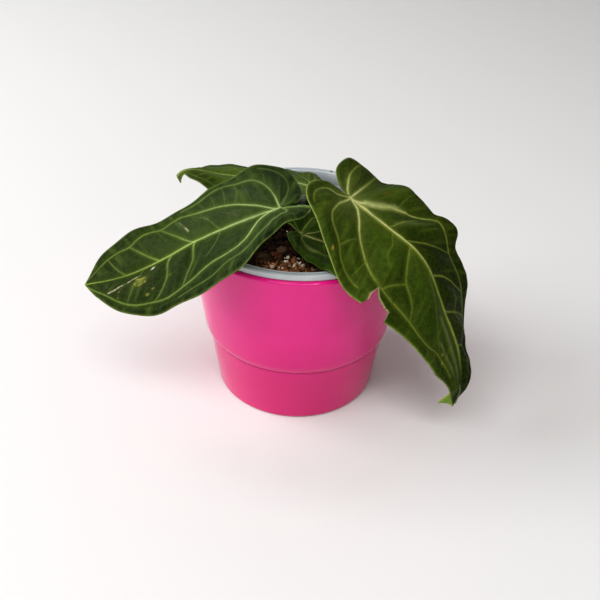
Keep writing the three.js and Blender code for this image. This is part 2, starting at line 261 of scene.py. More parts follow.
def closed_sheet(front, back, rows, columns):
    """A thin sheet from its front and back grids, closed all round its border."""
    total = rows * columns
    faces = grid_faces(rows, columns)
    faces += [tuple(total + c for c in (a, d, c, b)) for a, b, c, d in faces]
    border = [*range(columns), *(i * columns + columns - 1 for i in range(1, rows))]
    border += [(rows - 1) * columns + j for j in range(columns - 2, -1, -1)]
    border += [i * columns for i in range(rows - 2, 0, -1)]
    faces += [(b, a, a + total, b + total) for a, b in zip(border, border[1:] + border[:1])]
    return np.vstack([front, back]), faces


def tube(points, radii, sides):
    """A closed round rod through points."""
    points = np.asarray(points, float)
    radii = np.broadcast_to(np.asarray(radii, float), (len(points),))
    along = unit(np.gradient(points, axis=0))
    first = np.cross(along[0], [0.31, 0.17, 0.93])
    angles = np.arange(sides) * 2 * math.pi / sides
    rings = []
    for point, radius, direction in zip(points, radii, along):
        first = first - direction * (first @ direction)
        first = first / np.linalg.norm(first)
        second = np.cross(direction, first)
        rings.append(point + radius * (np.outer(np.cos(angles), first) + np.outer(np.sin(angles), second)))
    faces = grid_faces(len(points), sides, ring=True)
    start, end = len(points) * sides, len(points) * sides + 1
    last = (len(points) - 1) * sides
    for s in range(sides):
        n = (s + 1) % sides
        faces.append((start, n, s))
        faces.append((end, last + s, last + n))
    return np.vstack(rings + [points[:1], points[-1:]]), faces


def turned(profile, segments):
    """A closed profile of (radius, height), from axis to axis, turned about Z."""
    angles = np.arange(segments) * 2 * math.pi / segments
    vertices, rows = [], []
    for radius, height in profile:
        if radius < 1e-6:
            rows.append([len(vertices)] * segments)
            vertices.append((0.0, 0.0, height))
        else:
            rows.append(list(range(len(vertices), len(vertices) + segments)))
            vertices += [(radius * math.cos(a), radius * math.sin(a), height) for a in angles]
    faces = []
    for lower, upper in zip(rows, rows[1:]):
        for s in range(segments):
            n = (s + 1) % segments
            corners = dict.fromkeys((lower[s], lower[n], upper[n], upper[s]))
            faces.append(tuple(corners))
    return np.array(vertices), faces


def rounded(profile, radius, steps=4):
    """The profile with each corner cut into a small arc of about this radius."""
    points = [np.array(p, float) for p in profile]
    result = [points[0]]
    for before, corner, after in zip(points, points[1:], points[2:]):
        reach_in, reach_out = before - corner, after - corner
        cut = min(radius, 0.45 * np.linalg.norm(reach_in), 0.45 * np.linalg.norm(reach_out))
        start, end = corner + cut * unit(reach_in), corner + cut * unit(reach_out)
        for k in range(steps + 1):
            t = k / steps
            result.append((1 - t) ** 2 * start + 2 * t * (1 - t) * corner + t * t * end)
    result.append(points[-1])
    return [tuple(p) for p in result]


def subdivided(profile, longest):
    """The profile with its long stretches cut into shorter ones."""
    result = [profile[0]]
    for (r0, h0), (r1, h1) in zip(profile, profile[1:]):
        parts = max(1, math.ceil(math.hypot(r1 - r0, h1 - h0) / longest))
        result += [(r0 + (r1 - r0) * k / parts, h0 + (h1 - h0) * k / parts) for k in range(1, parts + 1)]
    return result


# Materials


class Material:
    """A node material round one Principled shader, with short calls for what it needs."""

    def __init__(self, name, roughness, specular, **inputs):
        self.material = bpy.data.materials.new(name)
        self.material.use_nodes = True
        self.nodes, self.links = self.material.node_tree.nodes, self.material.node_tree.links
        self.shader = self.nodes["Principled BSDF"]
        self.shader.inputs["Roughness"].default_value = roughness
        self.shader.inputs["Specular IOR Level"].default_value = specular
        for key, value in inputs.items():
            self.shader.inputs[key.replace("_", " ")].default_value = value
        place = self.node("TexCoord", {}).outputs["Object"]
        self.here = self.node("Mapping", {"Vector": place, "Scale": [1 / MM] * 3}).outputs["Vector"]

    def node(self, kind, inputs, **settings):
        """A new node, with each input set to its value or linked to its socket."""
        node = self.nodes.new("ShaderNode" + kind)
        for key, value in settings.items():
            setattr(node, key, value)
        for key, value in inputs.items():
            if isinstance(value, bpy.types.NodeSocket):
                self.links.new(value, node.inputs[key])
            else:
                node.inputs[key].default_value = value
        return node

    def link(self, name, socket):
        self.links.new(socket, self.shader.inputs[name])

    def attribute(self, name, output="Fac"):
        return self.node("Attribute", {}, attribute_name=name).outputs[output]

    def noise(self, size, detail=3.0, rough=0.55, output="Fac"):
        inputs = {"Vector": self.here, "Scale": 1.0 / size, "Detail": detail, "Roughness": rough}
        return self.node("TexNoise", inputs).outputs[output]

    def cells(self, vector, size, feature="F1"):
        inputs = {"Vector": vector, "Scale": 1.0 / size}
        return self.node("TexVoronoi", inputs, feature=feature).outputs["Distance"]

    def span(self, socket, low, high, to_low, to_high):
        inputs = {"Value": socket, "From Min": low, "From Max": high, "To Min": to_low, "To Max": to_high}
        return self.node("MapRange", inputs).outputs["Result"]

    def vary(self, size, low, high, detail=3.0, rough=0.55):
        """A value that wanders from low to high in patches of about this size."""
        return self.span(self.noise(size, detail, rough), 0.3, 0.7, low, high)

    def math(self, operation, first, second):
        return self.node("Math", {0: first, 1: second}, operation=operation).outputs["Value"]

    def mix(self, factor, first, second, blend="MIX"):
        inputs = {0: factor, 6: first, 7: second}
        return self.node("Mix", inputs, data_type="RGBA", blend_type=blend).outputs[2]

    def bump(self, height, distance, strength, under=None):
        inputs = {"Height": height, "Distance": distance * MM, "Strength": strength}
        if under is not None:
            inputs["Normal"] = under
        return self.node("Bump", inputs).outputs["Normal"]


def glaze_material():
    """Bright pink glaze, a touch uneven in depth, with painted shade towards the foot and along the crease
    at the step, a faint ripple and a few darker specks.
    """
    m = Material("pink_glaze", 0.10, 0.41)
    colour = m.mix(m.vary(22.0, 0.0, 1.0, 2.0), linear(228, 14, 128), linear(235, 20, 136))
    # Painted shade: the glaze darker towards the foot.
    colour = m.mix(m.attribute("foot"), colour, linear(208, 4, 106))
    # Painted shade: a dark line in the crease at the step.
    colour = m.mix(m.attribute("crease"), colour, linear(178, 8, 92))
    speck = m.span(m.noise(1.1, 1.0), 0.74, 0.80, 0.0, 0.35)
    m.link("Base Color", m.mix(speck, colour, linear(190, 10, 92)))
    m.link("Roughness", m.vary(9.0, 0.05, 0.09))
    ripple = m.bump(m.noise(14.0, 2.0), 0.10, 0.5)
    m.link("Normal", m.bump(m.cells(m.here, 5.0), 0.01, 0.25, ripple))
    return m.material


def plastic_material():
    """Satin blue-grey moulded plastic, finely matt, with a little dust and soil low inside."""
    m = Material("grey_plastic", 0.42, 0.45)
    colour = m.mix(m.vary(12.0, 0.0, 1.0), linear(178, 185, 191), linear(194, 200, 204))
    colour = m.mix(m.attribute("shade"), colour, linear(112, 121, 124))
    dust = m.math("MULTIPLY", m.attribute("soil"), m.span(m.noise(1.6, 4.0), 0.48, 0.62, 0.0, 1.0))
    m.link("Base Color", m.mix(dust, colour, linear(62, 44, 32)))
    m.link("Roughness", m.vary(3.0, 0.36, 0.52))
    m.link("Normal", m.bump(m.noise(0.35, 2.0), 0.012, 0.5))
    return m.material


def leaf_material(name, look):
    """Velvety blade: its colours come with the mesh, the fine grain and the faint web from nodes."""
    roughness = look["roughness"]
    m = Material(name, roughness, look["specular"], Sheen_Weight=look["sheen"], Sheen_Roughness=0.4,
                 Sheen_Tint=look["sheen_tint"])
    mottle = m.noise(3.2)
    grain = m.span(m.noise(0.45, 3.0, 0.6), 0.25, 0.75, -0.16, 0.16)
    value = m.math("ADD", grain, m.span(mottle, 0.3, 0.7, 0.86, 1.14))
    bent = m.node("VectorMath", {0: m.here, 1: m.noise(2.0, 2.0, 0.5, "Color")}, operation="ADD")
    web = m.span(m.cells(bent.outputs["Vector"], 3.4, "DISTANCE_TO_EDGE"), 0.0, 0.09, 1.0, 0.0)
    colour = m.mix(1.0, m.attribute("tint", "Color"), value, "MULTIPLY")
    m.link("Base Color", m.mix(m.math("MULTIPLY", web, look["web"]), colour, look["glow"]))
    rough = m.span(mottle, 0.3, 0.7, roughness - 0.05, roughness + 0.06)
    m.link("Roughness", m.math("SUBTRACT", rough, m.math("MULTIPLY", m.attribute("vein"), 0.12)))
    papillae = m.bump(m.cells(m.here, 0.6), 0.08, 0.6)
    puckers = m.bump(m.noise(1.5), 0.16, 0.7, papillae)
    m.link("Normal", m.bump(web, -0.08, 0.4, puckers))
    return m.material


def petiole_material():
    """Fleshy green stalk, finely uneven, with small pale flecks."""
    m = Material("petiole_green", 0.55, 0.12)
    fleck = m.span(m.noise(0.5, 2.0), 0.62, 0.72, 0.0, 0.6)
    m.link("Base Color", m.mix(fleck, m.attribute("tint", "Color"), linear(110, 124, 78)))
    m.link("Roughness", m.vary(2.0, 0.36, 0.52, 2.0))
    m.link("Normal", m.bump(m.noise(0.6), 0.06, 0.6))
    return m.material


def soil_material(name, roughness, bump_size, bump_height, spread):
    """Bark, coir and perlite: the piece gives its colour, the nodes its rough grain."""
    m = Material(name, roughness, 0.06)
    value = m.vary(0.9, 1.0 - spread, 1.0 + spread, 4.0, 0.65)
    m.link("Base Color", m.mix(1.0, m.attribute("tint", "Color"), value, "MULTIPLY"))
    m.link("Roughness", m.vary(1.7, roughness - 0.08, min(1.0, roughness + 0.06), 2.0))
    m.link("Normal", m.bump(m.noise(bump_size, 4.0, 0.65), bump_height, 0.8))
    return m.material


def finished(piece, slot, *nodes):
    """The piece on its body, and the solids that it stands for; its slot is not used."""
    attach(piece, "root")
    if nodes:
        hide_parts(*nodes)
    return piece


# The two pots

OUTER_POT = [
    (0, 0), (45.3, 0), (46.5, 1.2), (51.1, 36.0), (50.95, 36.5), (51.4, 37.1), (52.9, 39.1),
    (53.7, 42.0), (61.4, 99.0), (61.7, 100.4), (61.3, 101.6), (60.2, 102.0), (58.9, 102.0),
    (58.5, 101.4), (50.5, 44.0), (47.9, 35.5), (43.3, 6.0), (41.3, 4.5), (0, 4.5),
]
STEP_HEIGHT, CREASE_WIDTH = 36.5, 0.40
LIP_BOTTOM, LIP_TOP, LIP_RADIUS, LEDGE = 102.3, 105.2, 60.0, 97.2
POT_FOOT, POT_WALL, FOOT_RADIUS, WALL_TOP_RADIUS = 7.5, 1.3, 40.5, 57.2
DRAIN_HOLES, DRAIN_RADIUS, DRAIN_CIRCLE = 8, 3.0, 30.0
POT_SEGMENTS = 192


def nursery_radius(height):
    """Outside of the nursery pot's tapered wall."""
    share = (height - POT_FOOT) / (LIP_BOTTOM - POT_FOOT)
    return FOOT_RADIUS + share * (WALL_TOP_RADIUS - FOOT_RADIUS)


def make_outer_pot():
    vertices, faces = turned(subdivided(rounded(OUTER_POT, 0.9), 3.0), POT_SEGMENTS)
    radius, height = np.hypot(vertices[:, 0], vertices[:, 1]), vertices[:, 2]
    # Painted shade along the crease at the step.
    crease = bell(height - STEP_HEIGHT, CREASE_WIDTH) * (radius > 50.0)
    # Painted shade towards the foot.
    foot = 0.9 * smoothstep(66, 22, height) * (radius > 45.0)
    shape = Shape()
    shape.add(vertices, faces, crease=crease, foot=foot)
    finished(shape.object("glazed_pot", glaze_material()), "glazed_ceramic", "outer_pot")


def make_nursery_pot():
    floor_top, low_wall = POT_FOOT + POT_WALL, LEDGE - 3
    profile = rounded([
        (0, POT_FOOT), (FOOT_RADIUS, POT_FOOT), (nursery_radius(LIP_BOTTOM - 2), LIP_BOTTOM - 2),
        (WALL_TOP_RADIUS, LIP_BOTTOM), (LIP_RADIUS, LIP_BOTTOM), (LIP_RADIUS, LIP_TOP), (58.1, LIP_TOP),
        (57.75, LIP_TOP - 0.45), (57.35, LIP_TOP - 0.1), (56.0, LIP_TOP - 0.1), (55.7, LEDGE + 0.5),
        (54.6, LEDGE), (nursery_radius(low_wall) - POT_WALL, low_wall),
        (nursery_radius(floor_top) - POT_WALL, floor_top), (0, floor_top),
    ], 0.45)
    vertices, faces = turned(subdivided(profile, 4.0), POT_SEGMENTS)
    radius, height = np.hypot(vertices[:, 0], vertices[:, 1]), vertices[:, 2]
    groove = bell(radius - 57.7, 0.5) * (height > LIP_TOP - 1)
    inside = (radius < 56.2) & (height > floor_top + 1)
    shade = np.maximum(groove, inside * smoothstep(LIP_TOP, LEDGE, height) * 0.85)
    soil = inside * smoothstep(LEDGE - 1, LEDGE - 5, height)
    shape, cutters = Shape(), Shape()
    shape.add(vertices, faces, shade=shade, soil=soil)
    pot = shape.object("nursery_pot_shell", plastic_material())
    for k in range(DRAIN_HOLES):
        angle = 2 * math.pi * k / DRAIN_HOLES
        centre = (DRAIN_CIRCLE * math.cos(angle), DRAIN_CIRCLE * math.sin(angle))
        line = [(*centre, POT_FOOT - 3), (*centre, floor_top + 3)]
        cutters.add(*tube(line, DRAIN_RADIUS, 24))
    cutter = cutters.object("drain_cutter", pot.data.materials[0])
    cut = pot.modifiers.new("drain", "BOOLEAN")
    cut.operation, cut.solver, cut.object = "DIFFERENCE", "EXACT", cutter
    bpy.context.view_layer.update()
    evaluated = pot.evaluated_get(bpy.context.evaluated_depsgraph_get())
    pot.data = bpy.data.meshes.new_from_object(evaluated)
    pot.modifiers.clear()
    bpy.data.objects.remove(cutter)
    finished(pot, "grey_plastic", "nursery_pot")


make_outer_pot()
make_nursery_pot()


# Soil

SOIL_LEVEL, SOIL_FOOT = 91.6, 9.1
SOIL_EDGE = nursery_radius(SOIL_LEVEL) - POT_WALL - 0.5
STEM_CENTRE, STEM_RADIUS, STEM_FOOT, STEM_TOP = (4.0, 8.0), 7.4, 62.0, 96.5
CHIPS, CRUMBS, FRONT_CRUMBS, FIBRES, LOOSE_PERLITE = 620, 1300, 380, 190, 58
BARK_TONES = [
    linear(70, 40, 24), linear(96, 52, 30), linear(48, 30, 20), linear(120, 74, 46), linear(84, 62, 44),
]
BIG_CHIPS = [          # place, size and colour of the chips that stand out in front
    (-9.0, -15.5, (8.0, 5.0, 5.0), linear(84, 64, 48)),
    (-12.0, -20.0, (7.0, 5.0, 3.0), linear(88, 48, 30)),
    (-18.5, -22.5, (8.0, 5.0, 2.6), linear(66, 52, 32)),
    (-8.0, -35.4, (5.4, 3.4, 2.2), linear(140, 76, 44)),
    (-13.0, -36.0, (4.4, 3.0, 2.0), linear(128, 74, 44)),
    (3.6, -35.2, (4.6, 3.0, 1.8), linear(118, 76, 50)),
    (-1.5, -37.4, (4.2, 2.6, 1.8), linear(128, 72, 42)),
    (4.6, -28.6, (5.0, 4.0, 2.0), linear(84, 56, 40)),
]
PERLITE_SPOTS = [          # place, spread and count of the clusters that show in front
    (-5.9, -25.2, 0.8, 3), (-6.5, -28.4, 0.7, 3), (-3.4, -30.8, 0.8, 4), (-0.4, -25.4, 0.8, 3),
    (0.2, -29.4, 1.0, 6), (2.0, -32.0, 0.6, 2), (-2.2, -33.4, 0.5, 2), (-15.6, -31.5, 0.5, 1),
    (-13.5, -33.0, 0.4, 2), (-9.3, -31.8, 0.8, 3), (7.8, -35.6, 0.9, 5),
]
LIP_CRUMB, LIP_CRUMB_SIZE, LIP_CRUMB_TONE = (17.4, 55.2), (1.3, 1.0, 0.9), linear(52, 36, 26)


def soil_height(x, y):
    """Height of the loose soil: soft hills, lower against the pot's wall."""
    x, y = np.atleast_1d(x).astype(float), np.atleast_1d(y).astype(float)
    flat = np.stack([x, y, np.zeros_like(x)], -1)
    rise = 1.5 * fractal(flat, 17.0, 2, 1.0) + 0.8 * fractal(flat, 5.0, 3, 2.0)
    fade = smoothstep(SOIL_EDGE + 0.1, SOIL_EDGE - 5.0, np.hypot(x, y))
    return SOIL_LEVEL + 0.2 + fade * rise


def on_soil(x, y, lift):
    return x, y, float(soil_height(x, y)[0]) + lift


def painted_light_share(x, y):
    """How bright the mix is: painted light in front, and painted shade at the back and on the left, under
    the leaves.
    """
    return 0.16 + 1.8 * smoothstep(-21, -29, y) * smoothstep(-24, -14, x)


def ball_mesh(level):
    work = bmesh.new()
    bmesh.ops.create_icosphere(work, subdivisions=level, radius=1.0)
    vertices = np.array([v.co[:] for v in work.verts])
    faces = [tuple(v.index for v in f.verts) for f in work.faces]
    work.free()
    return vertices, faces


GRAIN_BALLS = {level: ball_mesh(level) for level in (1, 2, 3)}


def grain(random, planes, level):
    """A broken grain about 2 across: a ball cut by some random planes."""
    ball, faces = GRAIN_BALLS[level]
    normals = unit(random.normal(size=(planes, 3)))
    offsets = random.uniform(0.55, 0.9, planes)
    facing = ball @ normals.T
    reach = np.where(facing > 0.05, offsets / np.maximum(facing, 0.05), 9.0).min(1)
    return ball * np.minimum(reach, 1.0)[:, None], faces


def placed(vertices, random, place, size, tilt):
    """The grain stretched to its size, tipped a little, turned at will and moved to its place."""
    spin, lean = random.uniform(0, 2 * math.pi), random.normal(0, tilt)
    way = random.uniform(0, 2 * math.pi)
    tip = Matrix.Rotation(lean, 3, Vector((math.cos(way), math.sin(way), 0)))
    turn = tip @ Matrix.Rotation(spin, 3, "Z")
    return (vertices * np.array(size) / 2) @ np.array(turn).T + np.array(place)


def in_stem(x, y, room):
    return math.hypot(x - STEM_CENTRE[0], y - STEM_CENTRE[1]) < STEM_RADIUS + room


def soil_spot(random, reach):
    """A random place on the soil that keeps clear of the stem."""
    while True:
        angle, far = random.uniform(0, 2 * math.pi), reach * math.sqrt(random.uniform())
        x, y = far * math.cos(angle), far * math.sin(angle)
        if not in_stem(x, y, 1.5):
            return x, y


def make_soil():
    rings, segments = 84, 220
    low = nursery_radius(SOIL_FOOT) - POT_WALL - 0.3
    profile = [(radius, SOIL_LEVEL) for radius in np.linspace(0, SOIL_EDGE, rings)]
    vertices, faces = turned([*profile, (low, SOIL_FOOT), (0, SOIL_FOOT)], segments)
    top = vertices[:, 2] > SOIL_FOOT
    x, y = vertices[top, 0], vertices[top, 1]
    crumble = 0.35 * fractal(vertices[top] * [1, 1, 0], 1.7, 3, 4.0)
    vertices[top, 2] = soil_height(x, y) + crumble * (np.hypot(x, y) > 0)
    tone = smoothstep(-0.5, 0.6, fractal(vertices, 4.0, 3, 6.0))[:, None]
    dark, brown = np.array(linear(26, 18, 13)), np.array(linear(76, 48, 30))
    # Painted light and shade: the bed lighter in front, darker at the back and on the left.
    painted_light = painted_light_share(vertices[:, 0], vertices[:, 1])[:, None] ** 0.5
    tint = (dark * (1 - tone) + brown * tone) * (painted_light * [1, 1, 1, 0] + [0, 0, 0, 1])
    shape = Shape()
    shape.add(vertices, faces, tint=tint)
    material = soil_material("soil_crumb", 0.95, 0.7, 0.25, 0.45)
    finished(shape.object("soil_bed", material), "soil", "soil")


def make_bark():
    random = np.random.default_rng(5)
    chips = Shape()
    for x, y, size, tone in BIG_CHIPS:
        form, faces = grain(random, 12, 3)
        form = form * (1 + 0.16 * fractal(form, 0.35, 3, x))[:, None]
        chips.add(placed(form, random, on_soil(x, y, 0.5), size, 0.3), faces, tint=tone)
    for k in range(CHIPS):
        x, y = soil_spot(random, SOIL_EDGE - 2.2)
        long = random.uniform(1.6, 5.2) if k % 5 else random.uniform(5.0, 9.0)
        size = (long, long * random.uniform(0.4, 0.8), long * random.uniform(0.2, 0.45))
        if math.hypot(x, y) + long / 2 > SOIL_EDGE - 0.3:
            continue
        form, faces = grain(random, 8, 2)
        tone = BARK_TONES[random.integers(len(BARK_TONES))]
        # Painted light and shade on each chip, by where it lies.
        tone = toned(tone, painted_light_share(x, y) * random.uniform(0.5, 1.4))
        place = on_soil(x, y, size[2] * 0.2)
        chips.add(placed(form, random, place, size, 0.35), faces, tint=tone)
    spots = [soil_spot(random, SOIL_EDGE - 1.6) for _ in range(CRUMBS)]
    spots += [(random.normal(-5, 9), random.uniform(-39, -27)) for _ in range(FRONT_CRUMBS)]
    for x, y in spots:
        if math.hypot(x, y) > SOIL_EDGE - 1.6:
            continue
        long = random.uniform(0.7, 2.0)
        form, faces = grain(random, 6, 1)
        # Painted light and shade on each crumb, by where it lies.
        tone = toned(linear(136, 90, 58), painted_light_share(x, y) * (0.1 + 1.5 * random.uniform() ** 1.7))
        place, size = on_soil(x, y, 0.25 * long), (long, 0.7 * long, 0.5 * long)
        chips.add(placed(form, random, place, size, 0.5), faces, tint=tone)
    form, faces = grain(random, 6, 2)
    form = placed(form, random, (*LIP_CRUMB, LIP_TOP + 0.2), LIP_CRUMB_SIZE, 0.2)
    chips.add(form, faces, tint=LIP_CRUMB_TONE)
    material = soil_material("bark", 0.85, 0.5, 0.2, 0.5)
    finished(chips.object("bark_chips", material, smooth=False), "soil", "soil")


def make_coir():
    random = np.random.default_rng(8)
    fibres = Shape()
    points = 9
    for _ in range(FIBRES):
        x, y = soil_spot(random, SOIL_EDGE - 7)
        heading, bend = random.uniform(0, 2 * math.pi), random.uniform(-0.16, 0.16)
        step, line = random.uniform(4, 13) / (points - 1), []
        for _ in range(points):
            line.append((x, y))
            x, y = x + step * math.cos(heading), y + step * math.sin(heading)
            heading += bend + random.normal(0, 0.08)
        line = np.array(line)
        if np.hypot(*line.T).max() > SOIL_EDGE - 1.5 or any(in_stem(a, b, 0.8) for a, b in line):
            continue
        lift = 0.5 + 0.9 * np.sin(np.linspace(0, math.pi, points)) * random.uniform(0, 1)
        radius = random.uniform(0.1, 0.24) * np.linspace(1.1, 0.5, points)
        # Painted light and shade on each fibre, by where it lies.
        tone = toned(linear(112, 70, 40), painted_light_share(x, y) * random.uniform(0.4, 1.1))
        vertices, faces = tube(np.column_stack([line, soil_height(*line.T) + lift]), radius, 5)
        fibres.add(vertices, faces, tint=tone)
    material = soil_material("coir", 0.8, 0.3, 0.05, 0.25)
    finished(fibres.object("coir_fibres", material), "soil", "soil")


def make_perlite():
    random = np.random.default_rng(21)
    grains = Shape()
    spots = []
    for x, y, spread, count in PERLITE_SPOTS:
        spots += [(x + random.normal(0, spread), y + random.normal(0, spread)) for _ in range(count)]
    loose = [soil_spot(random, SOIL_EDGE - 3) for _ in range(LOOSE_PERLITE)]
    spots += [(x, y) for x, y in loose if abs(x + 8) > 20 or y > 4]
    for x, y in spots:
        if math.hypot(x, y) > SOIL_EDGE - 1.5 or in_stem(x, y, 1):
            continue
        across = 0.8 + 2.0 * random.uniform() ** 1.6
        size = (across, across * random.uniform(0.7, 1.0), across * random.uniform(0.55, 0.9))
        form, faces = grain(random, 8, 2)
        place = on_soil(x, y, size[2] * 0.45 + random.uniform(0, 0.5))
        bright = random.uniform(0.82, 1.0)
        tone = toned(linear(255, 238, 212), bright) * [1, 1, random.uniform(0.92, 1.0), 1]
        grains.add(placed(form, random, place, size, 1.0), faces, tint=tone)
    material = soil_material("perlite", 0.9, 0.35, 0.09, 0.12)
    finished(grains.object("perlite_grains", material, smooth=False), "soil", "soil")


make_soil()
make_bark()
make_coir()
make_perlite()


# Leaves

THICKNESS, EDGE_THICKNESS, RIM_BULGE = 0.8, 0.45, 0.18
CAMBER, GAPE, LOBE_SHARE, VEIN_SWEEP = 0.02, 0.04, 0.26, 1.3
WAVE, WAVE_COUNT = 0.5, 7
MIDRIB_HALF, MIDRIB_TAPER = 1.24, 1.04
QUILT_REACH, PLEAT_COUNT = 6.0, 2.6
KNUCKLE_REACH, FOOT_REACH = 4.5, 14
PETIOLE_SIDES, KEEL_SIDES, KEEL_END = 16, 12, 0.97
TIP_CURL_START, TIP_CURL_SPAN, TIP_CURL_OUT, TIP_CURL_THICKNESS = 0.905, 0.09, 0.93, 0.4
GRIDS = {          # rows and columns of each side of a blade
    "leaf_left": (270, 78), "leaf_right": (290, 76), "leaf_back": (190, 48), "leaf_front": (190, 48),
}
TIP_CURL_END = (75.7, -65.0, 31.7)
SCAR, YELLOW, PALE = linear(196, 190, 150), linear(150, 150, 60), linear(232, 226, 206)


def trace(*steps):
    """Points (along, out) on one side of a blade, given as a row of numbers in hundredths."""
    return [(along / 100, out / 100) for along, out in zip(steps[::2], steps[1::2])]
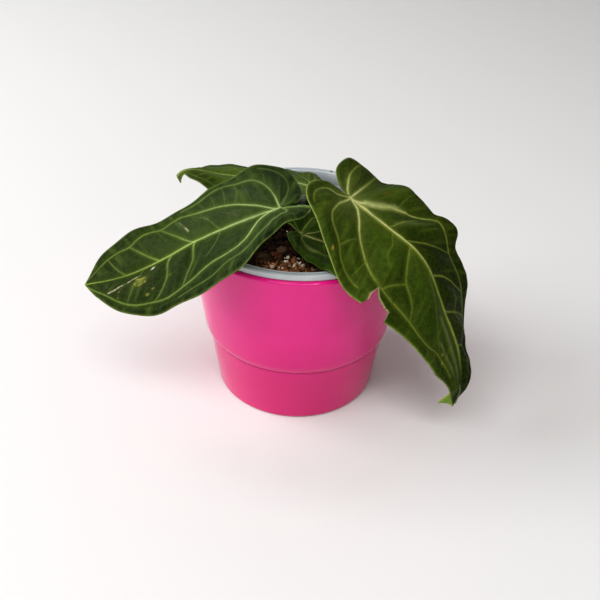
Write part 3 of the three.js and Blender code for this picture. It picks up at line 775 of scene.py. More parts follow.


# The same joints, midribs, margins and petioles as the solids have. Midrib and margins are given
# from the joint. Veins and marks lie on one side of the blade, 1 for the left and -1 for the right:
# along goes from the notch round the lobe to the tip, and out goes from the midrib to the margin.
# vein: side, half width at its start and at its end, strength, points.
# fold: side, half width, height, how strong its painted highlight is, points.
# scratch: side, half width, strength, colour, points.
# mark: along, out (below 0 on the right side), its two half sizes, strength, colour.
LEAVES = {
    "leaf_left": dict(
        joint=(-10, -31, 126), radius=1.8,
        petiole=[(1, 8, 88), (1, 8, 98), (1.5, 6, 110), (2.4, -5, 118.5), (0, -17, 122), (-5, -24, 123.7)],
        midrib=[(-21, -12, -3), (-41, -21, -9), (-56, -25, -17), (-75, -25.5, -27), (-96, -22, -35)],
        left=[(8, 0, 2), (15.5, -1.5, 2), (11, -11, 1.5), (2, -20.5, 2.5), (-6.5, -32, -0.5),
            (-16.5, -41.5, -8.5), (-30, -46, -17.5), (-45, -48, -26.5), (-59, -48, -33.5),
            (-74.5, -43, -35), (-87, -33.5, -34.5)],
        right=[(9, 6, 1), (10, 18.5, 1), (7, 25, 3), (0, 28, 8.5), (-14, 22.5, 12), (-28, 15.5, 6.5),
            (-38.5, 9.5, 2.5), (-50, 4, -5), (-61.5, -1, -9.5), (-73.5, -5, -13), (-83, -8, -19),
            (-92.5, -12, -29.5)],
        veins=[
            (-1, 0.45, 0.25, 0.75, trace(20, 0, 17, 14, 16, 44, 18, 69, 21, 77, 25, 85, 31, 91)),
            (-1, 0.6, 0.22, 1.0, trace(26, 0, 27, 7, 28, 26, 30, 46, 33, 64, 36, 75, 40, 82, 44, 88, 52, 89,
                60, 91)),
            (-1, 0.6, 0.25, 1.0, trace(29, 0, 32, 5, 39, 23, 45, 40, 51, 53, 57, 66, 62, 77, 66, 75, 69, 71,
                73, 75, 77, 71, 80, 65, 84, 71, 88, 73, 94, 74, 98, 80)),
            (-1, 0.25, 0.12, 0.45, trace(54, 0, 55, 5, 56, 25, 57, 46, 59, 62)),
            (-1, 0.4, 0.25, 0.9, trace(64, 0, 65, 5, 67, 35, 69, 71)),
            (-1, 0.38, 0.25, 0.85, trace(76, 0, 78, 26, 80, 65)),
            (-1, 0.25, 0.18, 0.6, trace(87, 0, 88, 35, 88, 73)),
            (-1, 0.2, 0.1, 0.35, trace(45, 40, 42, 59, 41, 82)),
            (-1, 0.2, 0.1, 0.35, trace(48, 47, 46, 68, 45, 88)),
            (-1, 0.18, 0.1, 0.3, trace(51, 53, 50, 71, 50, 89)),
            (1, 0.55, 0.25, 1.0, trace(30, 0, 34, 3, 38, 12, 40, 29, 42, 42, 45, 51, 49, 54, 53, 54, 56, 59,
                59, 69, 62, 74, 66, 79, 71, 79, 77, 84, 82, 82, 87, 79, 93, 79, 98, 85)),
            (1, 0.5, 0.2, 0.8, trace(10, 0, 12, 28, 18, 41, 24, 38, 29, 36, 31, 47, 36, 54, 39, 64, 42, 69,
                47, 71, 50, 78, 55, 82, 62, 88)),
            (1, 0.55, 0.34, 0.85, trace(5, 0, 5.2, 30, 5.5, 60, 6.2, 88)),
            (1, 0.25, 0.12, 0.45, trace(55, 0, 55, 23, 57, 40)),
            (1, 0.38, 0.25, 0.85, trace(64, 0, 64, 6, 62, 34, 62, 57, 62, 73)),
            (1, 0.35, 0.22, 0.8, trace(72, 0, 72, 14, 70, 41, 70, 62, 71, 79)),
            (1, 0.22, 0.12, 0.4, trace(81, 0, 80, 40, 80, 80)),
        ],
    ),
    "leaf_right": dict(
        joint=(24, -33, 134), radius=2.1,
        petiole=[(8, 8, 88), (8, 8, 98), (10, 5, 110), (15, -6, 121), (20, -20, 129)],
        midrib=[(18.5, -9.5, -10), (36, -18.5, -21.5), (48.5, -25, -46.5), (58, -30, -68),
            (61.5, -33, -86.5), (60.5, -30.5, -106)],
        left=[(-5.5, 7, 3.5), (-6.5, 19, 7.5), (-0.5, 24.5, 10.5), (8, 26, 4), (22, 26, -6),
            (32.5, 25.5, -8.5), (39.5, 22.5, -13), (46, 17.5, -17.5), (53, 16, -20), (58, 15, -25),
            (57.5, 10, -33), (64.5, 0.5, -48.5), (64, -6, -66.5), (66, -16, -84), (66, -25, -97)],
        right=[(-6, 1, 4), (-14, 2, 8), (-20, -3, 9.5), (-21, -14.5, 7), (-15, -24, -1), (-9, -33.5, -15),
            (-1, -40, -28), (9, -45.5, -33.5), (22, -46, -44.5), (35, -49, -55), (45.5, -44.5, -72.5),
            (52, -42, -80.5)],
        torn=(-1, trace(46.4, 100, 47.65, 93, 47.75, 85, 49.1, 72, 49.9, 82, 52.5, 87.5, 54.3, 88,
            54.6, 100)),
        veins=[
            (-1, 0.45, 0.22, 0.7, trace(10, 0, 11, 7, 12, 24, 9, 49, 10, 68, 13, 81, 17, 88)),
            (-1, 0.6, 0.28, 0.9, trace(25, 0, 23, 10, 21, 30, 22, 47, 23, 59, 26, 66, 30, 69, 33, 74,
                35, 81, 38, 85, 44, 87)),
            (-1, 0.7, 0.12, 1.0, trace(27, 0, 29, 3, 32, 7, 35, 20, 37, 33, 40, 45, 43, 55, 46, 64, 49, 69,
                54, 74, 61, 79, 65, 82, 70, 80, 75, 71, 80, 69, 85, 72)),
            (-1, 0.25, 0.14, 0.45, trace(47, 0, 47, 5, 48, 17, 48, 36, 50, 43)),
            (-1, 0.4, 0.22, 0.7, trace(53, 0, 54, 19, 55, 33, 56, 44, 58, 51, 60, 60, 61, 78)),
            (-1, 0.3, 0.2, 0.7, trace(50, 71, 52, 60, 56, 45)),
            (-1, 0.25, 0.15, 0.4, trace(61, 0, 62, 9, 65, 19, 68, 38, 71, 53, 75, 64)),
            (-1, 0.22, 0.15, 0.5, trace(33, 73, 35, 56, 38, 41)),
            (-1, 0.2, 0.12, 0.4, trace(43, 56, 42, 71, 41, 82)),
            (1, 0.6, 0.3, 0.9, trace(4, 0, 5, 10, 10, 30, 12, 50, 14, 70, 16, 92)),
            (1, 0.8, 0.45, 1.0, trace(22.2, 0, 22.4, 33, 22.4, 64, 22.2, 95)),
            (1, 1.15, 0.28, 1.0, trace(29, 0, 33, 7, 36, 17, 38, 35, 40, 45, 42, 55, 44, 65, 45, 75, 46, 80,
                48, 76, 51, 75, 54, 79, 56, 75, 60, 71, 64, 74, 67, 77, 70, 82, 75, 88, 82, 90)),
            (1, 0.22, 0.14, 0.45, trace(38, 46, 36, 66, 35, 82)),
            (1, 0.28, 0.14, 0.5, trace(45, 0, 45, 11, 45, 30, 45, 46)),
            (1, 0.42, 0.22, 0.75, trace(51, 0, 52, 10, 53, 28, 54, 44, 55, 59, 56, 74)),
            (1, 0.42, 0.22, 0.8, trace(63, 0, 63, 24, 64, 42, 66, 62, 67, 76)),
            (1, 0.36, 0.22, 0.75, trace(73, 0, 73, 11, 73, 51, 74, 88)),
            (1, 0.3, 0.2, 0.6, trace(82, 0, 82, 61)),
        ],
    ),
    "leaf_back": dict(
        joint=(4.3, 33.6, 106), radius=1.6, keel_end=0.8,
        petiole=[(4, 12, 88), (4, 12, 97), (4, 17, 101), (4.2, 25, 103.8)],
        midrib=[(-22, -1, 5), (-44, -1.5, 5.5), (-56, -2, 7.5), (-65, -2, 9), (-71, -2.5, 8.5),
            (-75, -1.5, 4.5), (-74.5, 2, -2)],
        left=[(6, -4, 0.5), (9, -11, 1), (5, -17, 1), (-8, -21, 0.5), (-24, -21, 0.5), (-36, -20, 1),
            (-48, -19, 1), (-56, -17, 5), (-66, -13, 9.5), (-70.5, -8, 9), (-73, -3.5, 3.5)],
        right=[(8, 7.5, -0.5), (4.5, 15.5, -0.5), (-11.5, 18, 1), (-27, 17.5, 2), (-41, 16.5, 3),
            (-50, 17, 4), (-61, 11.5, 4.5), (-69, 4.5, 6), (-76.5, 2.5, 3)],
        veins=[
            (-1, 0.35, 0.18, 0.8, trace(15, 0, 20, 30, 26, 49, 29, 76, 36, 88)),
        ],
    ),
    "leaf_front": dict(
        joint=(1.8, -17.6, 103), radius=1.6,
        petiole=[(4, 4, 88), (4, 4, 96.2), (3.5, -1, 99.4), (2.8, -8, 101)],
        midrib=[(10.5, -9.5, 2), (21.5, -21.5, 4), (31, -32.5, 5), (41, -38.5, 2)],
        left=[(-5, 7, 1.5), (-8.5, 10, 2), (-6.5, 14.5, 3), (-1, 17.5, 4), (6, 17.5, 5), (14, 12, 5),
            (22, 2.5, 4.5), (33, -13.5, 5), (40, -29.5, 4)],
        right=[(-4, 3, 0.5), (-8, 2, 0.5), (-7.5, -4.5, 0.5), (-4, -13, 0), (0.5, -22, 0), (6, -30, 1),
            (12.5, -39, 3.5), (20.5, -46, 4.5), (31.5, -47, 4)],
        veins=[
            (1, 0.35, 0.18, 0.8, trace(15, 0, 25, 29, 28, 49, 30, 68, 36, 85)),
            (1, 0.4, 0.2, 0.9, trace(28, 0, 29, 4, 36, 17, 42, 34, 50, 58, 62, 76, 80, 80)),
            (-1, 0.35, 0.22, 0.8, trace(20, 0, 33, 40, 42, 52, 50, 54, 58, 49, 66, 62, 78, 78)),
        ],
    ),
}
LEAVES["leaf_left"].update(
    folds=[
        (-1, 3.2, 0.9, 0.05, trace(42, 10, 48, 22, 55, 30)),
        (1, 2.6, -0.8, 0.0, trace(46, 20, 54, 26, 60, 34)),
    ],
    scratches=[
        (1, 0.28, 0.85, SCAR, trace(80, 20, 82, 30, 83, 39, 86, 53, 88, 70)),
        (1, 0.30, 0.8, YELLOW, trace(81, 30, 79.5, 34, 77.5, 33, 76.5, 42, 78.5, 50, 80, 42)),
        (-1, 0.20, 0.35, SCAR, trace(63.2, 62, 63, 46, 63.2, 36)),
        (-1, 0.30, 0.6, SCAR, trace(63.2, 36, 63.3, 28)),
        (-1, 0.32, 0.35, linear(110, 92, 70), trace(51, 31, 49, 20, 47, 12)),
        (1, 0.50, 0.8, linear(136, 156, 100), trace(1.2, 100, 3.5, 100, 6, 100, 8.5, 100)),
    ],
    marks=[
        (0.785, 0.38, 0.014, 0.08, 0.45, YELLOW), (0.83, 0.52, 0.012, 0.05, 0.5, linear(30, 34, 8)),
        (0.77, 0.13, 0.004, 0.025, 1.0, PALE), (0.74, 0.66, 0.004, 0.02, 0.8, YELLOW),
        (0.73, 0.57, 0.003, 0.015, 0.7, YELLOW), (0.84, 0.74, 0.003, 0.014, 0.6, linear(130, 110, 50)),
        (0.845, 0.60, 0.003, 0.015, 0.6, YELLOW), (0.69, 0.40, 0.003, 0.015, 0.5, YELLOW),
    ],
)
LEAVES["leaf_right"].update(
    folds=[
        (1, 1.9, 1.1, 0.85, trace(33, 9, 36, 22, 38, 41, 40, 49)),
        (1, 1.6, 0.4, 0.12, trace(45, 12, 46, 30, 48, 50)),
        (-1, 1.1, 0.7, 0.22, trace(70, 30, 78, 34, 86, 42, 93, 50)),
        (-1, 0.9, 0.6, 0.20, trace(74, 55, 82, 58, 90, 62)),
        (1, 1.0, 0.6, 0.15, trace(68, 40, 78, 45, 88, 50)),
    ],
    marks=[
        (0.31, -0.91, 0.004, 0.022, 1.0, linear(176, 146, 56)), (0.79, -0.71, 0.004, 0.03, 0.7, YELLOW),
        (0.32, 0.49, 0.004, 0.02, 0.7, linear(110, 60, 40)), (0.77, -0.62, 0.004, 0.03, 0.5, YELLOW),
        (0.482, -0.86, 0.006, 0.03, 0.9, linear(214, 192, 150)), (0.74, -0.80, 0.004, 0.02, 0.5, YELLOW),
    ],
)
LEAVES["leaf_front"]["folds"] = [(-1, 1.2, 1.0, 0.35, trace(36, 50, 44, 54, 52, 53))]


def young_veins(side, whole):
    """The plain venation of a young leaf, with its long side vein where whole is set."""
    veins = [
        (side, 0.28, 0.14, 0.5, trace(10, 0, 12, 30, 14, 60, 18, 80, 26, 90)),
        (side, 0.24, 0.14, 0.5, trace(52, 0, 54, 30, 57, 68)),
        (side, 0.22, 0.14, 0.45, trace(64, 0, 66, 35, 69, 74)),
        (side, 0.20, 0.12, 0.4, trace(77, 0, 79, 40, 81, 78)),
    ]
    if whole:
        long_vein = trace(28, 0, 34, 14, 42, 38, 50, 58, 58, 69, 69, 75, 81, 78, 92, 82)
        veins.append((side, 0.32, 0.18, 0.6, long_vein))
    return veins


LEAVES["leaf_back"]["veins"] += young_veins(1, True) + young_veins(-1, True)
LEAVES["leaf_front"]["veins"] += young_veins(1, False) + young_veins(-1, False)

DARK = dict(
    slot="dark_leaf", seed=1.0, quilt=2.3, pleat=0.15, web=0.12, ray=0.42,
    hub=0.0, hub_pale=0.15, midrib_fade=0.2, vein_end=0.0, tip_warmth=0.38,
    tip_shade=(0.5, 0.5), edge_shade=(0.8, 0.8),
    roughness=0.50, specular=0.02, sheen=0.012, sheen_tint=(0.60, 0.75, 0.50, 1),
    field=linear(33, 46, 25), field_light=linear(52, 66, 38), field_dark=linear(15, 25, 7),
    glow=linear(80, 102, 42), vein=linear(106, 128, 66), midrib=linear(176, 192, 126),
    # fold_highlight: painted highlight colour on the fold ridges.
    fold_highlight=linear(96, 118, 66), margin=linear(116, 138, 62),
    under=linear(88, 112, 52), under_vein=linear(128, 148, 88),
    # stalk: the stalk's own dark green, made darker still as painted shade for its stretch in shadow
    # between the leaves.
    stalk=linear(40, 54, 25), stalk_base=linear(66, 68, 40),
)
MID = dict(
    slot="mid_leaf", seed=3.0, quilt=2.9, pleat=0.55, web=0.17, ray=0.42,
    # hub: strength of the painted highlight round the joint.
    hub=0.12, hub_pale=0.5, midrib_fade=0.95, vein_end=1.0, tip_warmth=0.0,
    tip_shade=(0.2, 0.78), edge_shade=(0.08, 0.55),
    roughness=0.42, specular=0.012, sheen=0.004, sheen_tint=(0.62, 0.75, 0.40, 1),
    field=linear(31, 47, 7), field_light=linear(49, 68, 12), field_dark=linear(14, 22, 3),
    glow=linear(86, 104, 28), vein=linear(120, 132, 50), midrib=linear(212, 212, 142),
    # fold_highlight: painted highlight colour on the fold ridges and round the joint.
    fold_highlight=linear(152, 162, 94), margin=linear(156, 168, 78), torn_rim=linear(226, 204, 140),
    under=linear(96, 122, 50), under_vein=linear(136, 152, 82), curl=linear(112, 142, 52),
    stalk=linear(76, 96, 44), stalk_base=linear(74, 76, 44),
)
BRIGHT = dict(
    DARK, seed=6.0, tip_shade=(0.1, 0.1), field=linear(50, 67, 23), field_light=linear(72, 93, 38),
    field_dark=linear(26, 38, 10), glow=linear(92, 112, 46),
)
DEEP = dict(
    MID, hub=0.0, hub_pale=0.1, tip_shade=(0.3, 0.3), field=linear(34, 56, 10),
    field_light=linear(52, 78, 20), field_dark=linear(14, 24, 4), glow=linear(74, 96, 28),
    vein=linear(112, 128, 54), margin=linear(96, 116, 46),
)
LOOKS = {"leaf_left": DARK, "leaf_right": MID, "leaf_back": BRIGHT, "leaf_front": DEEP}


class Blade:
    """The surface that a leaf's solid has, read at (along, out) on each side."""

    def __init__(self, leaf):
        tip = leaf["midrib"][-1]
        self.joint = np.array(leaf["joint"], float)
        self.midrib = Curve([(0, 0, 0), *leaf["midrib"]])
        self.margin = {
            1: Curve([(0, 0, 0), *leaf["left"], tip]),
            -1: Curve([(0, 0, 0), *leaf["right"], tip]),
        }

    def at(self, side, along, out):
        """Points, and the width of the blade there."""
        along, out = np.asarray(along, float), np.asarray(out, float)
        station = np.maximum(0, (along - LOBE_SHARE) / (1 - LOBE_SHARE)) ** VEIN_SWEEP
        root, tangent = self.midrib.at(station), self.midrib.tangent(station)
        reach = self.margin[side].at(GAPE + (1 - GAPE) * along) - root
        width = np.linalg.norm(reach, axis=-1)
        across = unit(np.stack([-tangent[..., 1], tangent[..., 0], 0 * width], -1))
        normal = np.cross(tangent, reach) * side + np.cross(tangent, across) * (0.6 * width)[..., None]
        lift = CAMBER * width * 4 * out * (1 - out)
        wave = WAVE * np.sin(2 * math.pi * WAVE_COUNT * along) * out**2
        lift = lift + np.minimum(1, width / 15) * wave
        return self.joint + root + reach * out[..., None] + unit(normal) * lift[..., None], width

    def path(self, side, points):
        return self.at(side, *np.array(points).T)[0]


def distance_to_path(points, path):
    """How far each point is from a path, and how far along the path it is nearest."""
    best, where = np.full(len(points), np.inf), np.zeros(len(points))
    for k in range(len(path) - 1):
        step = path[k + 1] - path[k]
        offset = points - path[k]
        t = np.clip(offset @ step / max(step @ step, 1e-12), 0, 1)
        gap = offset - t[:, None] * step
        square = np.einsum("ij,ij->i", gap, gap)
        nearer = square < best
        best[nearer], where[nearer] = square[nearer], (k + t[nearer]) / (len(path) - 1)
    return np.sqrt(best), where


def sheet_grid(blade, leaf, rows, columns):
    """The upper face as a grid: places, faces, (side, along, out) and the order round the rim."""
    torn_side, torn = leaf.get("torn", (0, []))
    marks = [along for along, _ in torn]
    along = np.unique(np.round(np.concatenate([np.linspace(0, 1, rows), [LOBE_SHARE], marks]), 5))
    keel = along[along >= LOBE_SHARE - 1e-9]
    places = [blade.at(1, keel, np.zeros(len(keel)))[0]]
    info = [np.column_stack([np.zeros(len(keel)), keel, np.zeros(len(keel))])]
    inner, lobe_rows = along[:-1], len(along) - len(keel)
    faces, rims = [], {}
    start = len(keel)
    for side in (1, -1):
        edge = np.ones(len(inner))
        if side == torn_side:
            ragged = np.interp(inner, marks, [out for _, out in torn])
            teeth = fractal(np.column_stack([inner * 420, 0 * inner, 0 * inner]), 1.0, 2, 17.0)
            ragged = np.minimum(1.0, ragged + 0.018 * teeth * (ragged < 0.97))
            inside = (inner >= marks[0]) & (inner <= marks[-1])
            edge[inside] = ragged[inside]
        share = np.arange(1, columns + 1) / columns
        a = np.repeat(inner, columns)
        b = (edge[:, None] * share[None, :]).ravel()
        places.append(blade.at(side, a, b)[0])
        info.append(np.column_stack([np.full(len(a), side), a, b]))

        def index(i, j):
            if i == len(inner):
                return len(keel) - 1
            return max(0, i - lobe_rows) if j == 0 else start + i * columns + j - 1

        for i in range(len(inner)):
            for j in range(columns):
                corners = (index(i, j), index(i + 1, j), index(i + 1, j + 1), index(i, j + 1))
                corners = tuple(dict.fromkeys(corners))
                if len(corners) > 2:
                    faces.append(corners[::side])
        rims[side] = [index(0, j) for j in range(1, columns)]
        rims[side] += [index(i, columns) for i in range(len(inner))]
        start += len(inner) * columns
    rim = [0] + rims[1] + [len(keel) - 1] + rims[-1][::-1]
    return np.vstack(places), faces, np.vstack(info), np.array(rim)


def face_normals_at_points(places, faces):
    """Normals of a sheet at its points, from faces of three or four corners."""
    normals = np.zeros_like(places)
    for count, (p, q, r, s) in ((4, (0, 2, 1, 3)), (3, (0, 1, 0, 2))):
        corners = np.array([f for f in faces if len(f) == count], int).reshape(-1, count).T
        if corners.size:
            first, second = (places[corners[b]] - places[corners[a]] for a, b in ((p, q), (r, s)))
            for corner in corners:
                np.add.at(normals, corner, np.cross(first, second))
    return unit(normals)


def vein_fields(blade, places, veins):
    """For each vein its distance from the points, half width, strength, and if it is a main one."""
    midrib = blade.joint + blade.midrib.at(np.linspace(0, 1, 70))
    gap, where = distance_to_path(places, midrib)
    half = MIDRIB_HALF - MIDRIB_TAPER * where**0.85
    fields = [(gap, half, 1.0 - 0.12 * smoothstep(0.35, 0.7, where), True)]
    for side, wide, thin, strength, points in veins:
        route = Curve([(a, b, 0) for a, b in points], 200).at(np.linspace(0, 1, 46))
        path = blade.at(side, np.clip(route[:, 0], 0, 0.995), np.clip(route[:, 1], 0, 1))[0]
        gap, where = distance_to_path(places, path)
        fields.append((gap, wide + (thin - wide) * where, strength * (1 - 0.45 * where), strength > 0.5))
    return fields


def make_blade(name, leaf, blade, look, rows, columns):
    """The thick sheet: its relief above, plainer below, and a rounded edge round the rim."""
    flat, faces, info, rim = sheet_grid(blade, leaf, rows, columns)
    side, along, out = info.T
    count = len(flat)
    normals = face_normals_at_points(flat, faces)
    widths = [blade.at(one, along, np.ones(count))[1] for one in (1, -1)]
    width = np.select([side == 1, side == -1], widths)
    to_margin = width * (1 - out)
    nearest = np.full(count, 99.0)
    core, glow, ridge, valley, under_ridge = np.zeros((5, count))
    for gap, half, strength, main in vein_fields(blade, flat, leaf["veins"]):
        if main:
            nearest = np.minimum(nearest, gap)
        else:
            valley = np.maximum(valley, strength * bell(gap, 1.3))
        sharp = bell(gap, 0.85 * half + 0.10)
        core = np.maximum(core, np.minimum(1, strength * 1.1) * sharp)
        glow = np.maximum(glow, strength * np.exp(-gap / (1.8 + 3.0 * half)))
        raised = strength * bell(gap, half + 0.15)
        ridge = np.maximum(ridge, (0.10 + 0.32 * half) * raised)
        raised = strength * bell(gap, 1.2 * half + 0.2)
        under_ridge = np.maximum(under_ridge, 0.9 * half * raised)

    taper = smoothstep(0, 12, width * (out > 0)) * smoothstep(0, 3.5, to_margin)
    taper = taper * smoothstep(0, 0.05, 1 - along)
    pillow = look["quilt"] * (1 - np.exp(-((nearest / QUILT_REACH) ** 1.4)))
    ray_room = smoothstep(0.15, 0.5, out) * smoothstep(0.5, 2.5, nearest)
    rays = fractal(np.column_stack([along * 52, out * 0.9, side * 9]), 1.0, 3, look["seed"] + 2) * ray_room
    folding = np.zeros(count)
    for fold_side, half, height, _, points in leaf.get("folds", []):
        gap, _ = distance_to_path(flat, blade.path(fold_side, points))
        folding += height * bell(gap, half) * (side == fold_side)
    wander = 0.28 * fractal(flat, 9.0, 2, look["seed"]) + 0.10 * fractal(flat, 3.0, 2, look["seed"] + 1)
    pleats = look["pleat"] * np.sin(2 * math.pi * PLEAT_COUNT * out + 2.0 * side)
    pleats = pleats * smoothstep(0.66, 0.86, along)
    relief = pillow - 0.25 * valley + wander + 0.16 * rays + folding + pleats * np.minimum(1, width / 18)
    relief = taper * relief
    thin = EDGE_THICKNESS + (THICKNESS - EDGE_THICKNESS) * smoothstep(0, 6, to_margin)
    thin = np.where(side == 0, THICKNESS, thin)
    top = flat + normals * (relief + ridge)[:, None]
    under = flat + normals * (relief - thin - under_ridge)[:, None]
    run = unit(flat[np.roll(rim, -1)] - flat[np.roll(rim, 1)])
    outward = unit(np.cross(run, normals[rim]))
    middle = (top[rim] + under[rim]) / 2 + outward * RIM_BULGE
    faces = faces + [tuple(c + count for c in face[::-1]) for face in faces]
    for k, (t0, t1) in enumerate(zip(rim, np.roll(rim, -1))):
        m0, m1 = 2 * count + k, 2 * count + (k + 1) % len(rim)
        faces.append((t0, m0, m1, t1))
        faces.append((m0, t0 + count, t1 + count, m1))

    colour = blade_colour(blade, leaf, look, flat, info, to_margin, core, glow, nearest, rays)
    speckle = fractal(flat, 5.0, 2, 9.0)[:, None]
    below = np.array(look["under"]) * ((1 + 0.12 * speckle) * [1, 1, 1, 0] + [0, 0, 0, 1])
    below = mixed(below, look["under_vein"], 1.2 * core)
    edge = np.array(look["margin"]) * 0.4 + 0.6 * colour[rim]
    shape = Shape()
    shape.add(
        np.vstack([top, under, middle]),
        faces,
        tint=np.vstack([colour, below, edge]),
        vein=np.concatenate([core, core, np.zeros(len(rim))]),
    )
    finished(shape.object(name + "_blade", leaf_material(name + "_blade", look)), look["slot"], name)


def blade_colour(blade, leaf, look, flat, info, to_margin, core, glow, nearest, rays):
    """Base colour of the upper face: dark fields, a lighter glow by the veins, pale veins and rim, with
    painted shade in the hollows by the veins, towards the edges and the tip, and painted highlights on the
    folds and round the joint.
    """
    side, along, out = info.T
    dark = look["field_dark"]
    patch = fractal(flat, 13.0, 3, look["seed"] + 4)
    fine = fractal(flat, 2.4, 3, look["seed"] + 5)
    colour = np.tile(look["field"], (len(flat), 1))
    colour = mixed(colour, look["field_light"], 0.45 + 0.45 * patch + 0.2 * fine)
    # Painted shade in the hollows beside the main veins.
    colour = mixed(colour, dark, 0.8 * bell(nearest - 2.2, 1.6) * (0.7 + 0.3 * patch))
    edge = np.where(side < 0, *look["edge_shade"]) * smoothstep(13, 5, to_margin) * (side != 0)
    colour = mixed(colour, dark, edge)
    fade = 1 - look["vein_end"] * smoothstep(0.78, 0.92, along) * (out < 0.7)
    colour = mixed(colour, look["glow"], 0.80 * fade * glow**1.2)
    shade = np.where(side < 0, *look["tip_shade"]) * smoothstep(0.42, 0.80, along + 0.15 * side)
    colour = mixed(colour, dark, shade * (1 - core))
    colour = mixed(colour, look["glow"], look["ray"] * rays.clip(0, 1))
    colour = mixed(colour, dark, 0.6 * look["ray"] * (-rays).clip(0, 1))
    streak = np.sin(to_margin * 2.1 + 1.5 * patch) * smoothstep(11, 3, to_margin)
    colour = mixed(colour, look["glow"], 0.10 * streak)

    hub = np.linalg.norm(flat - blade.joint, axis=1) / 13.0
    pale = smoothstep(0.75, 1.0, core) * (1 - look["midrib_fade"] * smoothstep(0.42, 0.70, along))
    pale = np.maximum(pale, look["hub_pale"] * bell(hub, 1.3))
    vein = mixed(np.tile(look["vein"], (len(flat), 1)), look["midrib"], pale)
    colour = mixed(colour, vein, core * 1.05 * fade)
    warm = look["tip_warmth"] * smoothstep(0.40, 0.85, along)[:, None]
    colour = colour * (1 - warm * [-0.04, 0.0, 1.0, 0.0])
    # Painted highlight: paler along the fold ridges, where the light catches them.
    for fold_side, half, _, strength, points in leaf.get("folds", []):
        gap, where = distance_to_path(flat, blade.path(fold_side, points))
        share = strength * smoothstep(1.08, 0.45, where) * bell(gap, half)
        colour = mixed(colour, look["fold_highlight"], share * (side == fold_side))
    # Painted highlight round the joint.
    colour = mixed(colour, look["fold_highlight"], look["hub"] * bell(hub, 1) * (1 - core))
    rim = bell(to_margin, 0.42) * (0.65 + 0.35 * fine)
    colour = mixed(colour, look["margin"], rim * (side != 0))

    for mark_side, half, strength, tone, points in leaf.get("scratches", []):
        gap, _ = distance_to_path(flat, blade.path(mark_side, points))
        broken = smoothstep(-0.5, 0.1, fractal(flat, 1.1, 2, 15.0))
        colour = mixed(colour, tone, strength * broken * bell(gap, half) * (side == mark_side))
    if "torn" in leaf:
        torn_side, corners = leaf["torn"]
        gap, _ = distance_to_path(flat, blade.path(torn_side, corners[1:-1]))
        share = bell(gap, 0.38) * (0.75 + 0.3 * fine)
        colour = mixed(colour, look["torn_rim"], share * (side == torn_side))
    for a, b, size_a, size_b, strength, tone in leaf.get("marks", []):
        gap = ((along - a) / size_a) ** 2 + ((out - abs(b)) / size_b) ** 2
        share = strength * np.exp(-gap * (1 + 0.5 * fine))
        colour = mixed(colour, tone, share * (side == (1 if b >= 0 else -1)))
    return colour


def make_tip_curl(blade, look):
    """The right leaf's tip margin, curled out so that its pale underside shows."""
    rows, columns = 26, 16
    share = np.linspace(0, 1, rows)
    u, v = np.repeat(share, columns), np.tile(np.linspace(0, 1, columns), rows)
    along = TIP_CURL_START + TIP_CURL_SPAN * share
    root = np.repeat(blade.at(-1, along, np.full(rows, TIP_CURL_OUT))[0], columns, axis=0)
    bow = np.sin(math.pi * v)
    grid = root * (1 - v)[:, None] + np.outer(v, TIP_CURL_END)
    grid += np.outer(bow * np.sin(math.pi * u), [0.0, -1.6, 1.2])
    grid -= np.outer(0.9 * bow * (1 - 2 * u), [1.0, 0.0, 0.7])
    back = grid - TIP_CURL_THICKNESS * face_normals_at_points(grid, grid_faces(rows, columns))
    rim = np.repeat(np.minimum(np.arange(rows), rows - 1 - np.arange(rows)) * 0.35, columns)
    tone = mixed(np.tile(look["curl"], (rows * columns, 1)), look["margin"], bell(rim, 1))
    shape = Shape()
    vertices, faces = closed_sheet(grid, back, rows, columns)
    shape.add(vertices, faces, tint=np.vstack([tone, tone]), vein=np.zeros(len(vertices)))
    piece = shape.object("leaf_right_tip_curl", leaf_material("tip_curl", look), weld=True)
    finished(piece, look["slot"], "leaf_right")


def make_petiole(name, leaf, blade, look):
    """Stalk from the stem to the joint, its swollen knuckle, and the keel under the midrib."""
    x, y, z = leaf["joint"]
    route = Curve([*leaf["petiole"], (x, y, z - 0.9)])
    share = np.linspace(0, 1, 90)
    mark = share * route.length
    left = route.length - mark
    swell = 1 + 0.22 * bell(left - 4, KNUCKLE_REACH) + 0.18 * bell(mark, FOOT_REACH)
    radii = leaf["radius"] * swell * np.where(left < 1.2, 0.55 + 0.45 * left / 1.2, 1)
    vertices, faces = tube(route.at(share), radii, PETIOLE_SIDES)
    up = np.concatenate([np.repeat(share, PETIOLE_SIDES), [0, 1]])
    tint = mixed(np.tile(look["stalk_base"], (len(up), 1)), look["stalk"], smoothstep(0.12, 0.5, up))
    speck = 1 + 0.15 * fractal(vertices, 3.0, 3, 12.0)[:, None]
    shape = Shape()
    shape.add(vertices, faces, tint=tint * (speck * [1, 1, 1, 0] + [0, 0, 0, 1]))

    share = np.linspace(0.0, leaf.get("keel_end", KEEL_END), 70)
    tangent = blade.midrib.tangent(share)
    across = unit(np.stack([-tangent[:, 1], tangent[:, 0], 0 * share], -1))
    down = -unit(np.cross(tangent, across))
    radii = (leaf["radius"] * 0.72 - 0.25) * (1 - share) ** 0.8 + 0.30
    line_below = blade.joint + blade.midrib.at(share) + down * (THICKNESS * 0.75 + 0.55 * radii)[:, None]
    vertices, faces = tube(line_below, radii, KEEL_SIDES)
    shape.add(vertices, faces, tint=look["stalk"])
    finished(shape.object(name + "_petiole", petiole_material()), look["slot"], name)


for leaf_name, leaf_shape in LEAVES.items():
    leaf_blade, leaf_look = Blade(leaf_shape), LOOKS[leaf_name]
    make_blade(leaf_name, leaf_shape, leaf_blade, leaf_look, *GRIDS[leaf_name])
    make_petiole(leaf_name, leaf_shape, leaf_blade, leaf_look)
make_tip_curl(Blade(LEAVES["leaf_right"]), LOOKS["leaf_right"])


# Stem

SCAR_PITCH, SCAR_DEPTH, STEM_SIDES = 6.0, 0.45, 64
SHEATH_THICKNESS, SHEATH_TURNS = 0.22, (0.4, 2.6)


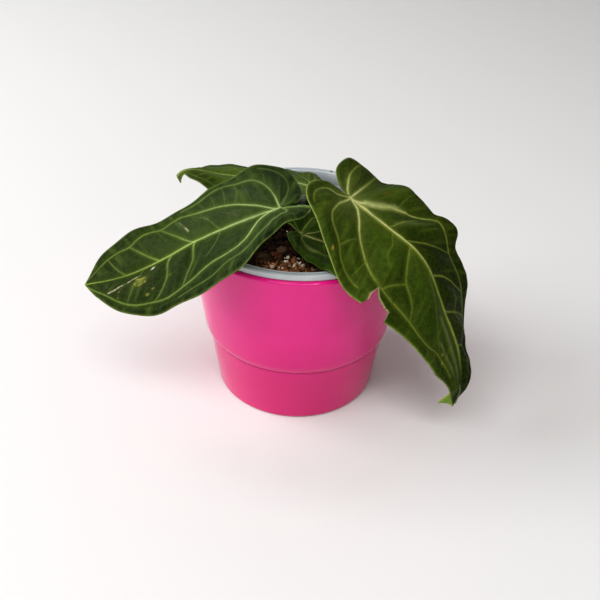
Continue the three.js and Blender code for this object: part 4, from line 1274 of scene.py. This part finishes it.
def make_stem():
    """Short knobbly stem with leaf scars."""
    profile = [(0, STEM_FOOT)]
    for height in np.linspace(STEM_FOOT, STEM_TOP, 60):
        bulge = SCAR_DEPTH * math.cos((height - 67.5) * 2 * math.pi / SCAR_PITCH)
        close = math.sqrt(max(0.02, 1 - max(0, (height - STEM_TOP + 2.2) / 2.2) ** 2))
        close *= math.sqrt(max(0.05, 1 - max(0, (STEM_FOOT + 2.5 - height) / 2.6) ** 2))
        profile.append(((STEM_RADIUS - 0.55 + bulge) * close, height))
    vertices, faces = turned([*profile, (0, STEM_TOP)], STEM_SIDES)
    away = unit(vertices * [1, 1, 0])
    vertices = vertices + [*STEM_CENTRE, 0]
    rough = fractal(vertices, 2.2, 3, 3.0)
    tone = smoothstep(-0.6, 0.6, rough)[:, None]
    colour = np.array(linear(70, 60, 36)) * (1 - tone) + np.array(linear(112, 98, 62)) * tone
    shape = Shape()
    shape.add(vertices + away * (0.3 * rough)[:, None], faces, tint=colour)
    material = soil_material("stem_bark", 0.8, 0.8, 0.2, 0.3)
    finished(shape.object("stem_core", material), "stem", "stem")


def make_sheaths():
    """The dry sheaths that stay round the petioles."""
    random = np.random.default_rng(31)
    rows, columns = 16, 9
    t, u = np.repeat(np.linspace(0, 1, rows), columns), np.tile(np.linspace(-1, 1, columns), rows)
    share = np.concatenate([t, t])[:, None]
    tint = np.array(linear(128, 100, 62)) * (1 - share) + np.array(linear(86, 60, 36)) * share
    sheaths = Shape()
    for leaf in LEAVES.values():
        for turn in SHEATH_TURNS:
            start = random.uniform(0, 2 * math.pi) + turn
            height, spread = random.uniform(7, 12), random.uniform(0.9, 1.3)
            angle = start + u * spread * (1 - t) ** 0.7
            away = np.column_stack([np.cos(angle), np.sin(angle), 0 * t])
            reach = leaf["radius"] + 0.7 + 0.8 * t * t + 0.15 * np.sin(7 * t)
            reach = reach + 0.25 * np.sin(5 * u + 9 * t) * t
            foot = np.array([*leaf["petiole"][0][:2], STEM_TOP - 1.5])
            outer = foot + away * reach[:, None] + np.outer(t, [0, 0, height])
            sheaths.add(*closed_sheet(outer, outer - SHEATH_THICKNESS * away, rows, columns), tint=tint)
    material = soil_material("dry_sheath", 0.75, 0.5, 0.08, 0.25)
    finished(sheaths.object("dry_sheaths", material), "stem", "stem")


make_stem()
make_sheaths()
